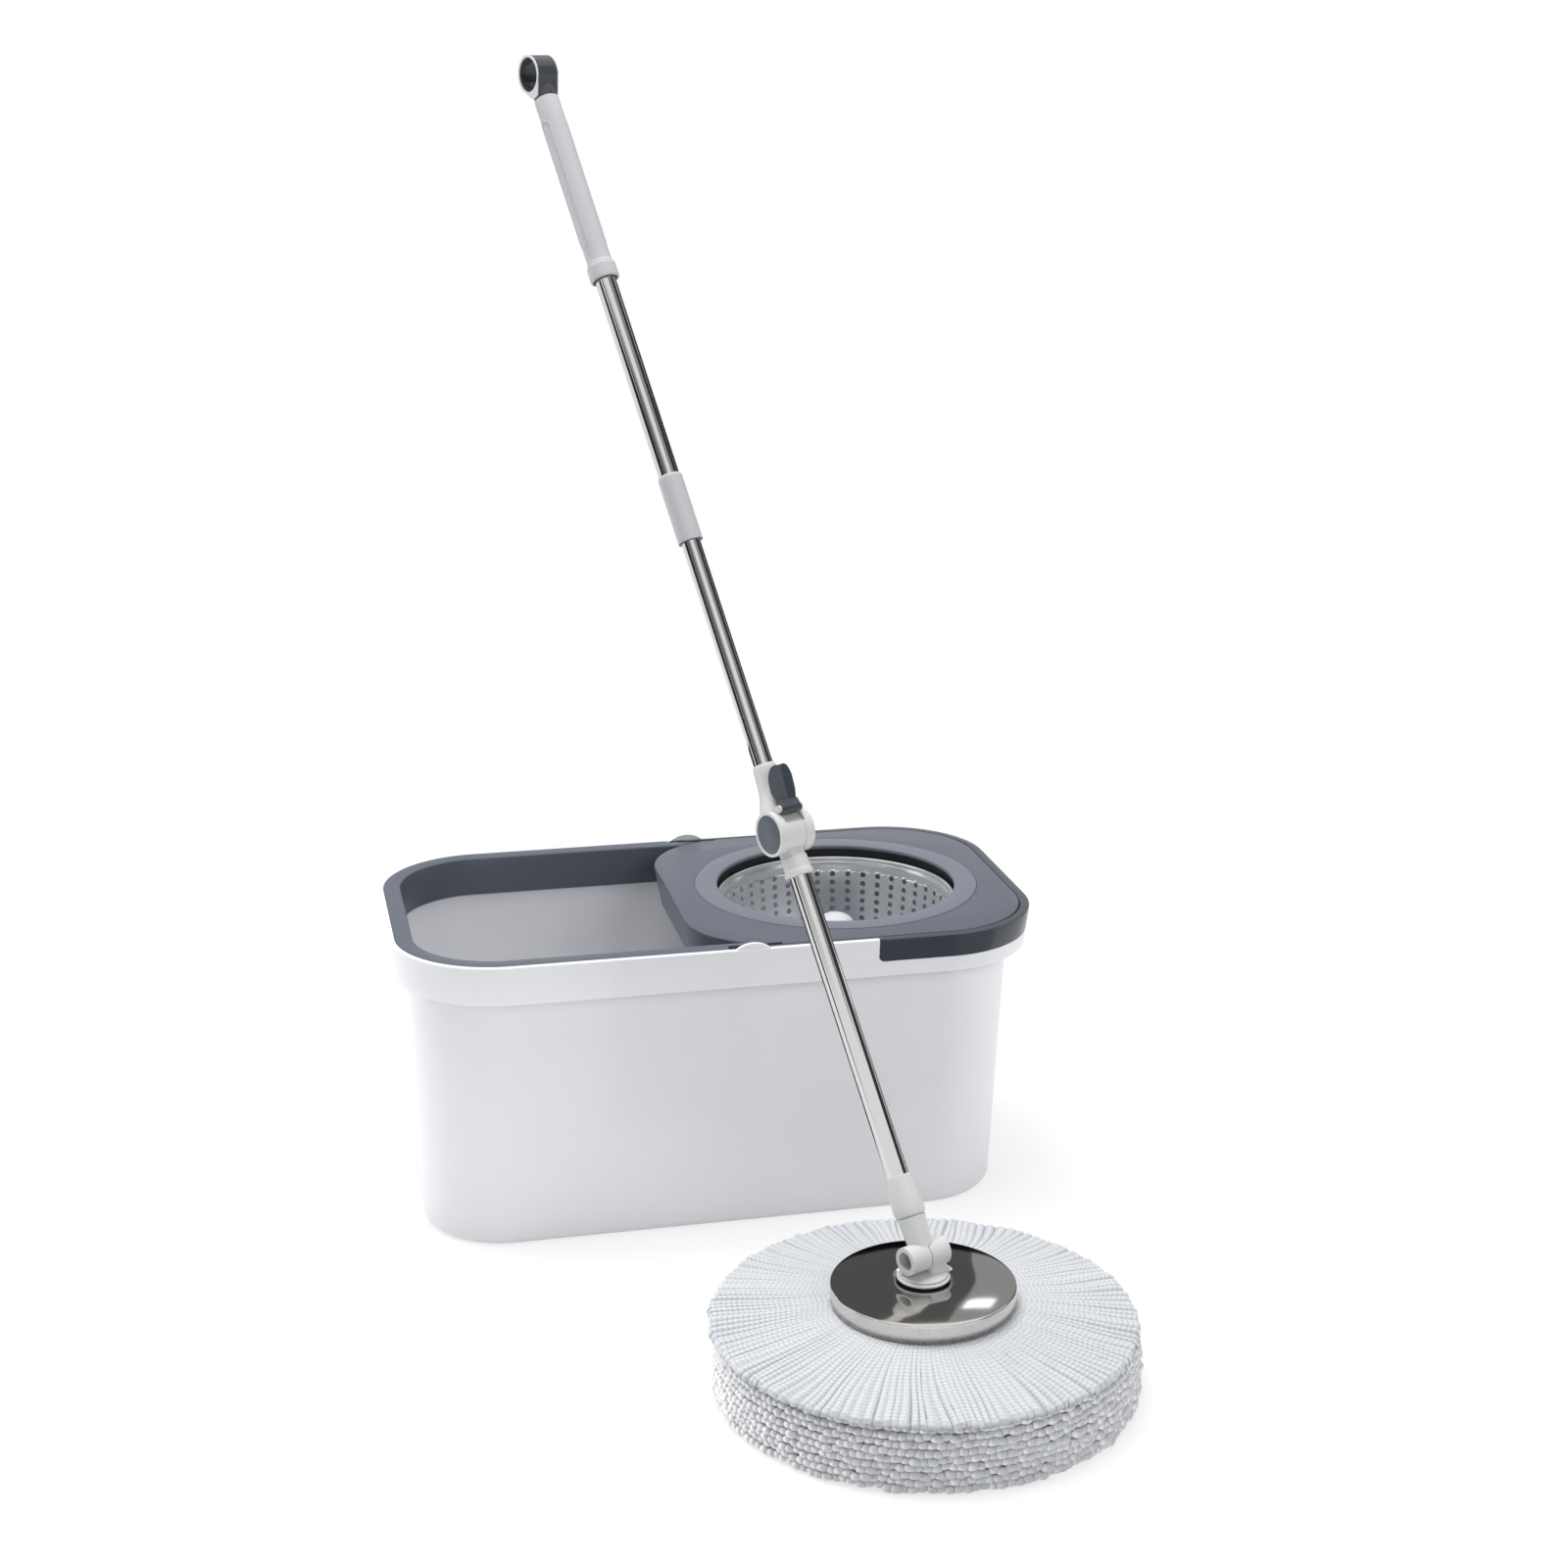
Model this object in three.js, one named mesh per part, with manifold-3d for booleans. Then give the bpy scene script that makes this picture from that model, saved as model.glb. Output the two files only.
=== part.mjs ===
// Spin mop set: a bucket with a perforated spin basket, and a folding telescopic mop that
// stands in front of it. Millimetres, +Z up. The origin is the centre of the bucket's
// underside, X runs along the bucket and -Y is its front.
import * as THREE from 'three';
import { mergeVertices } from 'three/addons/utils/BufferGeometryUtils.js';
import Module from 'manifold-3d';

const wasm = await Module();
wasm.setup();

// ---- Clearances ------------------------------------------------------------------------
const GAP = 0.3; // between two pieces that touch
const RUNNING = 0.08; // between a pin and the bore that turns on it

// ---- Bucket ----------------------------------------------------------------------------
const RIM_LENGTH = 546;
const RIM_WIDTH = 308;
const RIM_CORNER = 90;
const BUCKET_HEIGHT = 252;
const BUCKET_WALL = 3;
const FLOOR_THICKNESS = 3.5;
const LIP_WIDTH = 4.3;
const LIP_CHAMFER = 1;
const SKIRT_DEPTH = 34;
const SKIRT_DRAFT = 4;
const BODY_INSET = 14; // from the rim's outline to the body's wall
const BODY_DRAFT = 5;
const BASE_FILLET = 8;
const CHANNEL_DEPTH = 18; // the groove round the rim, where the carry handle lies
const PLATE = 4; // thickness of the frame's flange and of the basket deck

// ---- Carry handle ----------------------------------------------------------------------
const PIVOT_X = 14.5;
const PIVOT_DROP = 8; // below the rim
const EYE_RADIUS = 7.6;
const HANDLE_PIN_RADIUS = 3;
const BOSS_RADIUS = 23;
const BOSS_DROP = 18.3;
const NOTCH_X = 120; // where the handle's grip starts
const NOTCH_DEPTH = 20;
const NOTCH_ROUNDING = 5;
const GRIP_WIDTH = 8.4;
const GRIP_WALL = 2;
const ARM_HEIGHT = 12;
const SLOT_LEFT = -5;
const SLOT_RIGHT = 40;
const SLOT_INSET = 12.4;

// ---- Frame, deck and collar ring -------------------------------------------------------
const FRAME_DROP = 34;
const FRAME_WALL = 2;
const DECK_LEFT = -28;
const DECK_CORNER = 75;
const DECK_WALL = 2.6;
const DECK_DROP = 35;
const DECK_DRAFT = 6;
const BASKET_X = 120;
const COLLAR_RADIUS = 123.5;
const COLLAR_OPENING = 104;
const COLLAR_WALL = 2.4;
const COLLAR_DEPTH = 23;
const COLLAR_LIP = 3.6; // how far its lip reaches in over the basket's rim
const SEAT_WIDTH = 13;

// ---- Spin basket, hub and spindle ------------------------------------------------------
const BASKET_RADIUS = 100.5; // outside, at the top of its straight wall
const BASKET_FLARE = 3.2; // of the rolled rim beyond the wall
const BASKET_TAPER = 6;
const BASKET_DEPTH = 88;
const BASKET_DROP = 10; // from the deck to the rolled rim
const BASKET_GAUGE = 1;
const BASKET_BEAD = 1.6;
const BASKET_ROUNDING = 12;
const HOLE_RADIUS = 3.6;
const HOLE_COLUMNS = 18;
const HOLE_ROWS = 4;
const HOLE_PITCH = 16;
const HUB_SHAFT_RADIUS = 21.4;
const HUB_FLANGE_RADIUS = 34;
const HUB_TOP_RADIUS = 17;
const HUB_HEIGHT = 58; // above the basket's floor
const DOME_HEIGHT = 11;
const SPINDLE_RADIUS = 4;
const BUSH_WALL = 1.9;
const PEDESTAL_BASE_RADIUS = 44;
const PEDESTAL_TOP_RADIUS = 16;
const PEDESTAL_RIB_DROP = 30; // of the ribs below its top
const WASHER_THICKNESS = 1.4;

// ---- Mop head --------------------------------------------------------------------------
const MOP_X = 85.6;
const MOP_Y = -417.3;
const PIN_TURN = 24; // degrees, of the tilt pin from the X axis
const POLE_LEAN = 31; // degrees from upright, away from the front
const YARN_RADIUS = 160;
const YARN_EDGE_HEIGHT = 54;
const YARN_PLATE_HEIGHT = 50; // height of the yarn under the plate
const COVER_RADIUS = 69;
const COVER_RIM_HEIGHT = 78.4;
const COVER_BAND = 12.4;
const COVER_DOME = 7;
const COVER_GAUGE = 0.8;
const RING_HEIGHT = 11;
const RING_WIDTH = 27;
const FLANGE_RADIUS = 20;
const FLANGE_THICKNESS = 4.4;
const SOCKET_RADIUS = 14.2;
const SOCKET_DEPTH = 10;
const KNUCKLE_HEIGHT = 22.4; // of the tilt pin above the cover's rim
const KNUCKLE_RADIUS = 10.5;
const KNUCKLE_LENGTH = 35.6;
const KNUCKLE_RECESS = 9;
const TILT_PIN_RADIUS = 4;
const HEAD_SCREW_RADIUS = 2.4;

// ---- Pole, measured along it from the tilt pin -----------------------------------------
const TUBE_RADIUS = 8.4; // lower and upper tube
const TUBE_WALL = 0.5;
const MIDDLE_TUBE_RADIUS = TUBE_RADIUS - TUBE_WALL - GAP;
const CONE_TOP = 30;
const CONE_TOP_RADIUS = 10.8;
const CONE_FOOT_RADIUS = 9;
const SPIGOT_LENGTH = 22;
const FERRULE_LENGTH = 31;
const FERRULE_RADIUS = 12;
const FOLD_CENTRE = 331.5;
const FOLD_RADIUS = 17.2;
const FOLD_LENGTH = 31;
const FOLD_KNUCKLE = 14.4; // width of the lower part's knuckle
const FOLD_PIN_RADIUS = 4;
const SLEEVE_WALL = 1.3;
const LOWER_SLEEVE_LENGTH = 18;
const LOWER_COLLAR_HEIGHT = 4;
const UPPER_SLEEVE_LENGTH = 35.7;
const CAP_RADIUS = 14.6;
const CAP_THICKNESS = 1.5;
const LEVER_PIVOT_FORWARD = 15.2;
const LEVER_PIVOT_RISE = 14.9;
const LEVER_FOOT_RADIUS = 3.4;
const LEVER_WIDTH = 17; // of its foot
const LEVER_REACH = 11; // half the width of its plate
const LEVER_THICKNESS = 2.8;
const LEVER_CURVE = 30; // radius of the plate's outer face
const LEVER_FACE = 0.6; // of the plate's outer face in front of the pin
const LEVER_LEAN = 7; // degrees that the plate stands away from the sleeve
const LEVER_RIDGE = 0.8;
const LEVER_PIN_RADIUS = 1.5;
const TELESCOPE_STROKE = 180;
const STROKE_SPARE = 4.5; // left between the sleeves with the pole pushed in
const LOCK_SLEEVE_LENGTH = 54.5;
const MIDDLE_TUBE_OVERLAP = 85.5; // of the middle tube above the lock sleeve's foot
const UPPER_TUBE_LENGTH = 374;
const TUBE_END_COVER = 3; // of the grip above the upper tube
const GRIP_LENGTH = 159;
const GRIP_RADIUS = 9.9;
const GRIP_COLLAR_RADIUS = 11.7;
const GRIP_COLLAR_HEIGHT = 15;
const PAD_LENGTH = 111;
const PAD_DEPTH = 0.6;
const PAD_WIDTH = 11;
const LOOP_RADIUS = 15;
const LOOP_WALL = 2.4;
const LOOP_WIDTH = 18.6;

// ---- Press drive, hidden in the tubes --------------------------------------------------
const ROD_WIDTH = 8;
const ROD_THICKNESS = 2.4;
const ROD_LEAD = 90; // length of one turn of the twisted rod
const ROD_REACH = 8; // of the rod below the nut's housing
const NUT_RADIUS = 5.3;
const NUT_LENGTH = 10;
const NUT_CLEARANCE = 0.35;
const HOUSING_LENGTH = 16;
const HOUSING_END = 2.7;
const PLUG_LENGTH = 23;

// ---- Facets in a full turn --------------------------------------------------------------
const SMALL = 20;
const ROUND = 20;
const BROAD = 32;

// ---- Colours and finishes --------------------------------------------------------------
const WHITE_PLASTIC = { color: 0xdfe1e6, roughness: 0.35, metalness: 0 };
const SLATE_PLASTIC = { color: 0x747a85, roughness: 0.45, metalness: 0 };
const PALE_SLATE_PLASTIC = { color: 0xa0a5af, roughness: 0.45, metalness: 0 };
const DARK_PLASTIC = { color: 0x44484f, roughness: 0.3, metalness: 0 };
const JOINT_PLASTIC = { color: 0xc8c9c7, roughness: 0.4, metalness: 0 };
const STEEL = { color: 0xc9c6c1, roughness: 0.18, metalness: 1 };
const DARK_STEEL = { color: 0x8e8f91, roughness: 0.35, metalness: 1 };
const BRONZE = { color: 0xb08d57, roughness: 0.4, metalness: 1 };
const YARN = { color: 0xf1f2f4, roughness: 0.95, metalness: 0 };

// ---- Solids ----------------------------------------------------------------------------

// Welds a geometry's vertices and drops the triangles that collapse at a pole.
function weld(geometry) {
  const plain = geometry.clone();
  plain.deleteAttribute('normal');
  plain.deleteAttribute('uv');
  const merged = mergeVertices(plain, 1e-4);
  const index = merged.index.array;
  const kept = [];
  for (let i = 0; i < index.length; i += 3) {
    const [a, b, c] = [index[i], index[i + 1], index[i + 2]];
    if (a !== b && b !== c && c !== a) kept.push(a, b, c);
  }
  merged.setIndex(kept);
  return merged;
}

function toSolid(geometry) {
  const welded = weld(geometry);
  const vertProperties = new Float32Array(welded.attributes.position.array);
  const triVerts = new Uint32Array(welded.index.array);
  return new wasm.Manifold(new wasm.Mesh({ numProp: 3, vertProperties, triVerts }));
}

function toGeometry(solid) {
  const mesh = solid.getMesh();
  const geometry = new THREE.BufferGeometry();
  geometry.setAttribute('position', new THREE.BufferAttribute(mesh.vertProperties, 3));
  geometry.setIndex(new THREE.BufferAttribute(mesh.triVerts, 1));
  return geometry;
}

// Joins a list of geometries, cuts another list away and gives one geometry back.
function carve(joined, removed = []) {
  let solid = toSolid(joined[0]);
  for (const geometry of joined.slice(1)) solid = solid.add(toSolid(geometry));
  for (const geometry of removed) solid = solid.subtract(toSolid(geometry));
  return toGeometry(solid);
}

function common(first, second) {
  return toGeometry(toSolid(first).intersect(toSolid(second)));
}

function box(x0, x1, y0, y1, z0, z1) {
  const geometry = new THREE.BoxGeometry(x1 - x0, y1 - y0, z1 - z0);
  return geometry.translate((x0 + x1) / 2, (y0 + y1) / 2, (z0 + z1) / 2);
}

// Turns a profile of [radius, height] points about Z. A profile that ends off the axis
// closes on itself.
function turned(profile, segments = ROUND) {
  const points = profile.map(([r, z]) => new THREE.Vector2(r, z));
  if (profile[0][0] > 0 || profile.at(-1)[0] > 0) points.push(points[0].clone());
  const geometry = new THREE.LatheGeometry(points, segments).rotateX(Math.PI / 2);
  return outward(geometry);
}

// Flips a closed geometry whose faces point in.
function outward(geometry) {
  const welded = weld(geometry);
  const p = welded.attributes.position;
  const index = welded.index.array;
  const [a, b, c] = [new THREE.Vector3(), new THREE.Vector3(), new THREE.Vector3()];
  let volume = 0;
  for (let i = 0; i < index.length; i += 3) {
    a.fromBufferAttribute(p, index[i]);
    b.fromBufferAttribute(p, index[i + 1]);
    c.fromBufferAttribute(p, index[i + 2]);
    volume += a.dot(b.cross(c));
  }
  if (volume < 0) {
    for (let i = 0; i < index.length; i += 3) {
      [index[i], index[i + 1]] = [index[i + 1], index[i]];
    }
  }
  return welded;
}

// A cylinder along X between two places, round the line (y, z).
function crossRod(x0, x1, radius, y = 0, z = 0, segments = ROUND) {
  const geometry = new THREE.CylinderGeometry(radius, radius, x1 - x0, segments);
  return geometry.rotateZ(Math.PI / 2).translate((x0 + x1) / 2, y, z);
}

// A cylinder along Y between two places, round the line (x, z).
function depthRod(y0, y1, radius, x, z, segments = SMALL) {
  const geometry = new THREE.CylinderGeometry(radius, radius, y1 - y0, segments);
  return geometry.translate(x, (y0 + y1) / 2, z);
}

// Extrudes an outline of [x, z] points along Y.
function extrudedAlongY(outline, y0, y1) {
  const shape = new THREE.Shape(outline.map(([x, z]) => new THREE.Vector2(x, z)));
  const geometry = new THREE.ExtrudeGeometry(shape, { depth: y1 - y0, bevelEnabled: false });
  return geometry.rotateX(Math.PI / 2).translate(0, y1, 0);
}

// Joins equal rings of points into a skin. An open skin is capped at both ends, and a
// looped one runs from its last ring back to its first.
function lofted(rings, looped = false) {
  const count = rings[0].length;
  const points = rings.flat();
  const index = [];
  const spans = looped ? rings.length : rings.length - 1;
  for (let i = 0; i < spans; i++) {
    const low = i * count;
    const high = ((i + 1) % rings.length) * count;
    for (let j = 0; j < count; j++) {
      const next = (j + 1) % count;
      index.push(low + j, low + next, high + next, low + j, high + next, high + j);
    }
  }
  if (!looped) {
    for (const [ring, turn] of [[0, 1], [rings.length - 1, 0]]) {
      const centre = new THREE.Vector3();
      for (const point of rings[ring]) centre.add(point);
      const hub = points.push(centre.divideScalar(count)) - 1;
      for (let j = 0; j < count; j++) {
        const [a, b] = [ring * count + j, ring * count + ((j + 1) % count)];
        index.push(hub, turn ? b : a, turn ? a : b);
      }
    }
  }
  const geometry = new THREE.BufferGeometry().setFromPoints(points);
  geometry.setIndex(index);
  return outward(geometry);
}

// A closed plan outline from four corner arcs: [centre x, centre y, radius, first angle].
function cornered(corners, z, steps = 6) {
  const ring = [];
  for (const [x, y, radius, start] of corners) {
    for (let i = 0; i <= steps; i++) {
      const angle = THREE.MathUtils.degToRad(start + (90 * i) / steps);
      ring.push(new THREE.Vector3(x + radius * Math.cos(angle), y + radius * Math.sin(angle), z));
    }
  }
  return ring;
}

// The bucket's plan outline at a height, moved in from the rim.
function rim(inset, z) {
  const radius = RIM_CORNER - inset;
  const x = RIM_LENGTH / 2 - RIM_CORNER;
  const y = RIM_WIDTH / 2 - RIM_CORNER;
  return cornered([[x, y, radius, 0], [-x, y, radius, 90], [-x, -y, radius, 180], [x, -y, radius, 270]], z);
}

const rimLoft = (profile, looped) => lofted(profile.map(([inset, z]) => rim(inset, z)), looped);

const scene = new THREE.Group();

function piece(parent, name, geometry, finish) {
  const mesh = new THREE.Mesh(geometry, new THREE.MeshStandardMaterial(finish));
  mesh.name = name;
  parent.add(mesh);
  return mesh;
}

// ---- Bucket shell ----------------------------------------------------------------------
const channelFloor = BUCKET_HEIGHT - CHANNEL_DEPTH;
const notchFloor = BUCKET_HEIGHT - NOTCH_DEPTH;
const skirtFoot = BUCKET_HEIGHT - SKIRT_DEPTH;
const innerWallTop = BUCKET_HEIGHT - PLATE - GAP;
const pivotZ = BUCKET_HEIGHT - PIVOT_DROP;
const lipInset = LIP_WIDTH;
const beyond = RIM_LENGTH; // far enough to clear the bucket on every side

// Inset of the skirt's outer face at a height.
const skirtInset = (z) => (SKIRT_DRAFT * (BUCKET_HEIGHT - z)) / SKIRT_DEPTH;
// Inset of the body's outer face at a height.
const bodyInset = (z) => BODY_INSET + (BODY_DRAFT * (channelFloor - z)) / channelFloor;

// The quarter round between a wall and the floor, from the floor up.
function footRounding(radius, floor, wallInset, steps = 4) {
  const arc = [];
  for (let i = 0; i <= steps; i++) {
    const angle = (Math.PI / 2) * (i / steps);
    const inset = wallInset(floor + radius) + radius * (1 - Math.sin(angle));
    arc.push([inset, floor + radius * (1 - Math.cos(angle))]);
  }
  return arc;
}

// The side view of the cut that the handle's grip lies in, with its lower corner rounded.
function notchOutline(left, floor, rounding) {
  const outline = [];
  for (let i = 0; i <= 4; i++) {
    const angle = Math.PI + (Math.PI / 2) * (i / 4);
    const x = left + rounding + rounding * Math.cos(angle);
    outline.push([x, floor + rounding + rounding * Math.sin(angle)]);
  }
  outline.push([beyond, floor], [beyond, BUCKET_HEIGHT + PLATE], [left, BUCKET_HEIGHT + PLATE]);
  return outline;
}

function bucketShell() {
  const innerWall = (z) => bodyInset(z) + BUCKET_WALL;
  const wall = rimLoft([
    ...footRounding(BASE_FILLET, 0, bodyInset),
    [BODY_INSET, channelFloor - BUCKET_WALL],
    [skirtInset(channelFloor) + BUCKET_WALL, channelFloor - BUCKET_WALL],
    [skirtInset(skirtFoot) + BUCKET_WALL, skirtFoot],
    [skirtInset(skirtFoot), skirtFoot],
    [0, BUCKET_HEIGHT - LIP_CHAMFER],
    [LIP_CHAMFER, BUCKET_HEIGHT],
    [lipInset, BUCKET_HEIGHT],
    [lipInset, channelFloor],
    [BODY_INSET, channelFloor],
    [BODY_INSET, innerWallTop],
    [BODY_INSET + BUCKET_WALL, innerWallTop],
    ...footRounding(BASE_FILLET - BUCKET_WALL, FLOOR_THICKNESS, innerWall).reverse(),
  ]);
  const ledgeTop = notchFloor - GAP;
  const band = [-1, BODY_INSET - 0.1];
  const aboveLedge = loop(band[0], band[1], ledgeTop, BUCKET_HEIGHT + PLATE);
  const side = extrudedAlongY(notchOutline(NOTCH_X, ledgeTop, NOTCH_ROUNDING), -beyond, beyond);
  const notch = common(aboveLedge, side);
  const ledgeInset = skirtInset(ledgeTop) + 0.2;
  const ledge = loop(ledgeInset, BODY_INSET + 1, ledgeTop - BUCKET_WALL, ledgeTop);
  const endWall = loop(ledgeInset, BODY_INSET + 1, ledgeTop - BUCKET_WALL, channelFloor);
  const ledgeEnd = NOTCH_X - BUCKET_WALL;
  const solids = [carve([wall], [notch])];
  solids.push(common(ledge, box(ledgeEnd, beyond, -beyond, beyond, 0, beyond)));
  solids.push(common(endWall, box(ledgeEnd, NOTCH_X, -beyond, beyond, 0, beyond)));
  const bores = [];
  for (const side of [-1, 1]) {
    const outer = RIM_WIDTH / 2 - LIP_CHAMFER;
    const inner = RIM_WIDTH / 2 - lipInset;
    const ends = [side * outer, side * inner].sort((a, b) => a - b);
    const boss = depthRod(...ends, BOSS_RADIUS, PIVOT_X, BUCKET_HEIGHT - BOSS_DROP, ROUND);
    const aboveLip = box(-beyond, beyond, -beyond, beyond, BUCKET_HEIGHT - 2 * LIP_CHAMFER, beyond);
    solids.push(common(boss, aboveLip));
    const blind = [side * (RIM_WIDTH / 2 - 1.3), side * (inner - 1)].sort((a, b) => a - b);
    bores.push(depthRod(...blind, HANDLE_PIN_RADIUS + RUNNING, PIVOT_X, pivotZ));
  }
  return carve(solids, bores);
}

// A band round the bucket between two insets and two heights.
function loop(insetOut, insetIn, z0, z1) {
  return rimLoft([[insetOut, z0], [insetOut, z1], [insetIn, z1], [insetIn, z0]], true);
}

piece(scene, 'bucket_shell', bucketShell(), WHITE_PLASTIC);

// ---- Rim frame and basket deck ---------------------------------------------------------
const deckInset = GRIP_WIDTH + 2 * GAP;
const deckUnderside = BUCKET_HEIGHT - PLATE;

// The deck's plan outline at a height, moved in from its edge.
function deckRing(inset, z) {
  const right = RIM_LENGTH / 2 - RIM_CORNER;
  const rightRadius = RIM_CORNER - deckInset - inset;
  const y = RIM_WIDTH / 2 - RIM_CORNER;
  const left = DECK_LEFT + DECK_CORNER;
  const leftY = RIM_WIDTH / 2 - deckInset - DECK_CORNER;
  const leftRadius = DECK_CORNER - inset;
  return cornered([
    [right, y, rightRadius, 0],
    [left, leftY, leftRadius, 90],
    [left, -leftY, leftRadius, 180],
    [right, -y, rightRadius, 270],
  ], z);
}

function slotBoxes() {
  const inner = RIM_WIDTH / 2 - SLOT_INSET;
  const low = deckUnderside - 2;
  const high = BUCKET_HEIGHT + 2;
  const sides = [[inner, beyond], [-beyond, -inner]];
  return sides.map(([y0, y1]) => box(SLOT_LEFT, SLOT_RIGHT, y0, y1, low, high));
}

function rimFrame() {
  const drop = BUCKET_HEIGHT - FRAME_DROP;
  const wallAt = (z) => bodyInset(z) + BUCKET_WALL + GAP;
  const section = rimLoft([
    [lipInset + GAP, BUCKET_HEIGHT],
    [wallAt(deckUnderside) + FRAME_WALL, BUCKET_HEIGHT],
    [wallAt(drop) + FRAME_WALL, drop],
    [wallAt(drop), drop],
    [wallAt(deckUnderside), deckUnderside],
    [lipInset + GAP, deckUnderside],
  ], true);
  const left = common(section, box(-beyond, SLOT_RIGHT - GAP, -beyond, beyond, 0, beyond));
  const deckSpace = lofted([deckRing(-2 * GAP, 0), deckRing(-2 * GAP, BUCKET_HEIGHT + 1)]);
  return carve([left], [deckSpace, ...slotBoxes()]);
}

function basketDeck() {
  const plate = lofted([deckRing(0, deckUnderside), deckRing(0, BUCKET_HEIGHT)]);
  const drop = BUCKET_HEIGHT - DECK_DROP;
  const rounded = lofted([
    deckRing(0, deckUnderside + 1),
    deckRing(DECK_DRAFT, drop),
    deckRing(DECK_DRAFT + DECK_WALL, drop),
    deckRing(DECK_WALL, deckUnderside + 1),
  ], true);
  const frameFace = RIM_WIDTH / 2 - bodyInset(drop) - BUCKET_WALL - FRAME_WALL - 3 * GAP;
  const reach = DECK_LEFT + DECK_CORNER;
  const leftWall = common(rounded, box(-beyond, reach, -frameFace, frameFace, 0, beyond));
  const seatOuter = COLLAR_RADIUS + 3;
  const seat = turned([
    [COLLAR_RADIUS - SEAT_WIDTH, deckUnderside - 3],
    [seatOuter, deckUnderside - 3],
    [seatOuter, deckUnderside + 1],
    [COLLAR_RADIUS + GAP, deckUnderside + 1],
    [COLLAR_RADIUS + GAP, deckUnderside - GAP],
    [COLLAR_RADIUS - SEAT_WIDTH, deckUnderside - GAP],
  ], BROAD).translate(BASKET_X, 0, 0);
  const hole = turned([
    [0, deckUnderside - GAP],
    [COLLAR_RADIUS + GAP, deckUnderside - GAP],
    [COLLAR_RADIUS + GAP, BUCKET_HEIGHT + 1],
    [0, BUCKET_HEIGHT + 1],
  ], BROAD).translate(BASKET_X, 0, 0);
  const inner = turned([
    [0, 0],
    [COLLAR_RADIUS - SEAT_WIDTH, 0],
    [COLLAR_RADIUS - SEAT_WIDTH, deckUnderside],
    [0, deckUnderside],
  ], BROAD).translate(BASKET_X, 0, 0);
  return carve([plate, leftWall, seat], [hole, inner, ...slotBoxes()]);
}

function collarRing() {
  const top = BUCKET_HEIGHT + 0.6;
  const foot = BUCKET_HEIGHT - COLLAR_DEPTH;
  const skirt = COLLAR_OPENING + COLLAR_LIP;
  return turned([
    [skirt, foot],
    [skirt + COLLAR_WALL, foot],
    [skirt + COLLAR_WALL, deckUnderside],
    [COLLAR_RADIUS, deckUnderside],
    [COLLAR_RADIUS, top - 0.8],
    [COLLAR_RADIUS - 0.8, top],
    [COLLAR_OPENING + 1.5, top],
    [COLLAR_OPENING + 0.4, top - 0.5],
    [COLLAR_OPENING, top - 1.6],
    [COLLAR_OPENING, deckUnderside + 1],
    [COLLAR_OPENING + 0.6, deckUnderside + 0.4],
    [skirt, deckUnderside + 0.4],
  ], BROAD).translate(BASKET_X, 0, 0);
}

piece(scene, 'rim_frame', rimFrame(), SLATE_PLASTIC);
piece(scene, 'basket_deck', basketDeck(), SLATE_PLASTIC);
piece(scene, 'collar_ring', collarRing(), PALE_SLATE_PLASTIC);

// ---- Carry handle and its pins ---------------------------------------------------------
function carryHandle() {
  const top = BUCKET_HEIGHT - GAP;
  const foot = notchFloor;
  const inside = GRIP_WIDTH - GRIP_WALL;
  const under = top - GRIP_WALL;
  const grip = rimLoft([
    [skirtInset(top), top],
    [GRIP_WIDTH, top],
    [GRIP_WIDTH, foot],
    [inside, foot],
    [inside, under],
    [skirtInset(under) + GRIP_WALL, under],
    [skirtInset(foot) + GRIP_WALL, foot],
    [skirtInset(foot), foot],
  ], true);
  const ends = rimLoft([
    [skirtInset(top), top],
    [GRIP_WIDTH, top],
    [GRIP_WIDTH, foot],
    [skirtInset(foot), foot],
  ], true);
  const gripLeft = NOTCH_X + 2 * GAP;
  const outline = notchOutline(gripLeft, foot, NOTCH_ROUNDING);
  const side = extrudedAlongY(outline, -beyond, beyond);
  const parts = [common(grip, side)];
  const endBlock = box(gripLeft, gripLeft + 2 * GRIP_WALL, -beyond, beyond, 0, beyond);
  parts.push(common(common(ends, side), endBlock));
  const bores = [];
  const armOuter = RIM_WIDTH / 2 - lipInset - 2 * GAP;
  const armInner = RIM_WIDTH / 2 - GRIP_WIDTH;
  for (const side of [-1, 1]) {
    const [y0, y1] = [side * armOuter, side * armInner].sort((a, b) => a - b);
    parts.push(box(PIVOT_X, gripLeft + GRIP_WALL, y0, y1, top - ARM_HEIGHT, top));
    parts.push(depthRod(y0, y1, EYE_RADIUS, PIVOT_X, pivotZ));
    bores.push(depthRod(y0 - 1, y1 + 1, HANDLE_PIN_RADIUS + RUNNING, PIVOT_X, pivotZ));
  }
  return carve(parts, bores);
}

function handlePin(side) {
  const outer = RIM_WIDTH / 2 - 1.3 - GAP;
  const shoulder = RIM_WIDTH / 2 - GRIP_WIDTH - GAP;
  const end = RIM_WIDTH / 2 - SLOT_INSET + GAP;
  const span = (a, b) => [side * a, side * b].sort((p, q) => p - q);
  const shaft = depthRod(...span(outer, shoulder - 1), HANDLE_PIN_RADIUS, PIVOT_X, pivotZ);
  const head = depthRod(...span(shoulder, end), HANDLE_PIN_RADIUS + 2, PIVOT_X, pivotZ);
  return carve([shaft, head]);
}

piece(scene, 'carry_handle', carryHandle(), DARK_PLASTIC);
piece(scene, 'handle_pin_front', handlePin(-1), WHITE_PLASTIC);
piece(scene, 'handle_pin_back', handlePin(1), WHITE_PLASTIC);

// ---- Spin basket -----------------------------------------------------------------------
const beadZ = BUCKET_HEIGHT - BASKET_DROP - BASKET_BEAD;
const basketFloor = BUCKET_HEIGHT - BASKET_DROP - BASKET_DEPTH;

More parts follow.
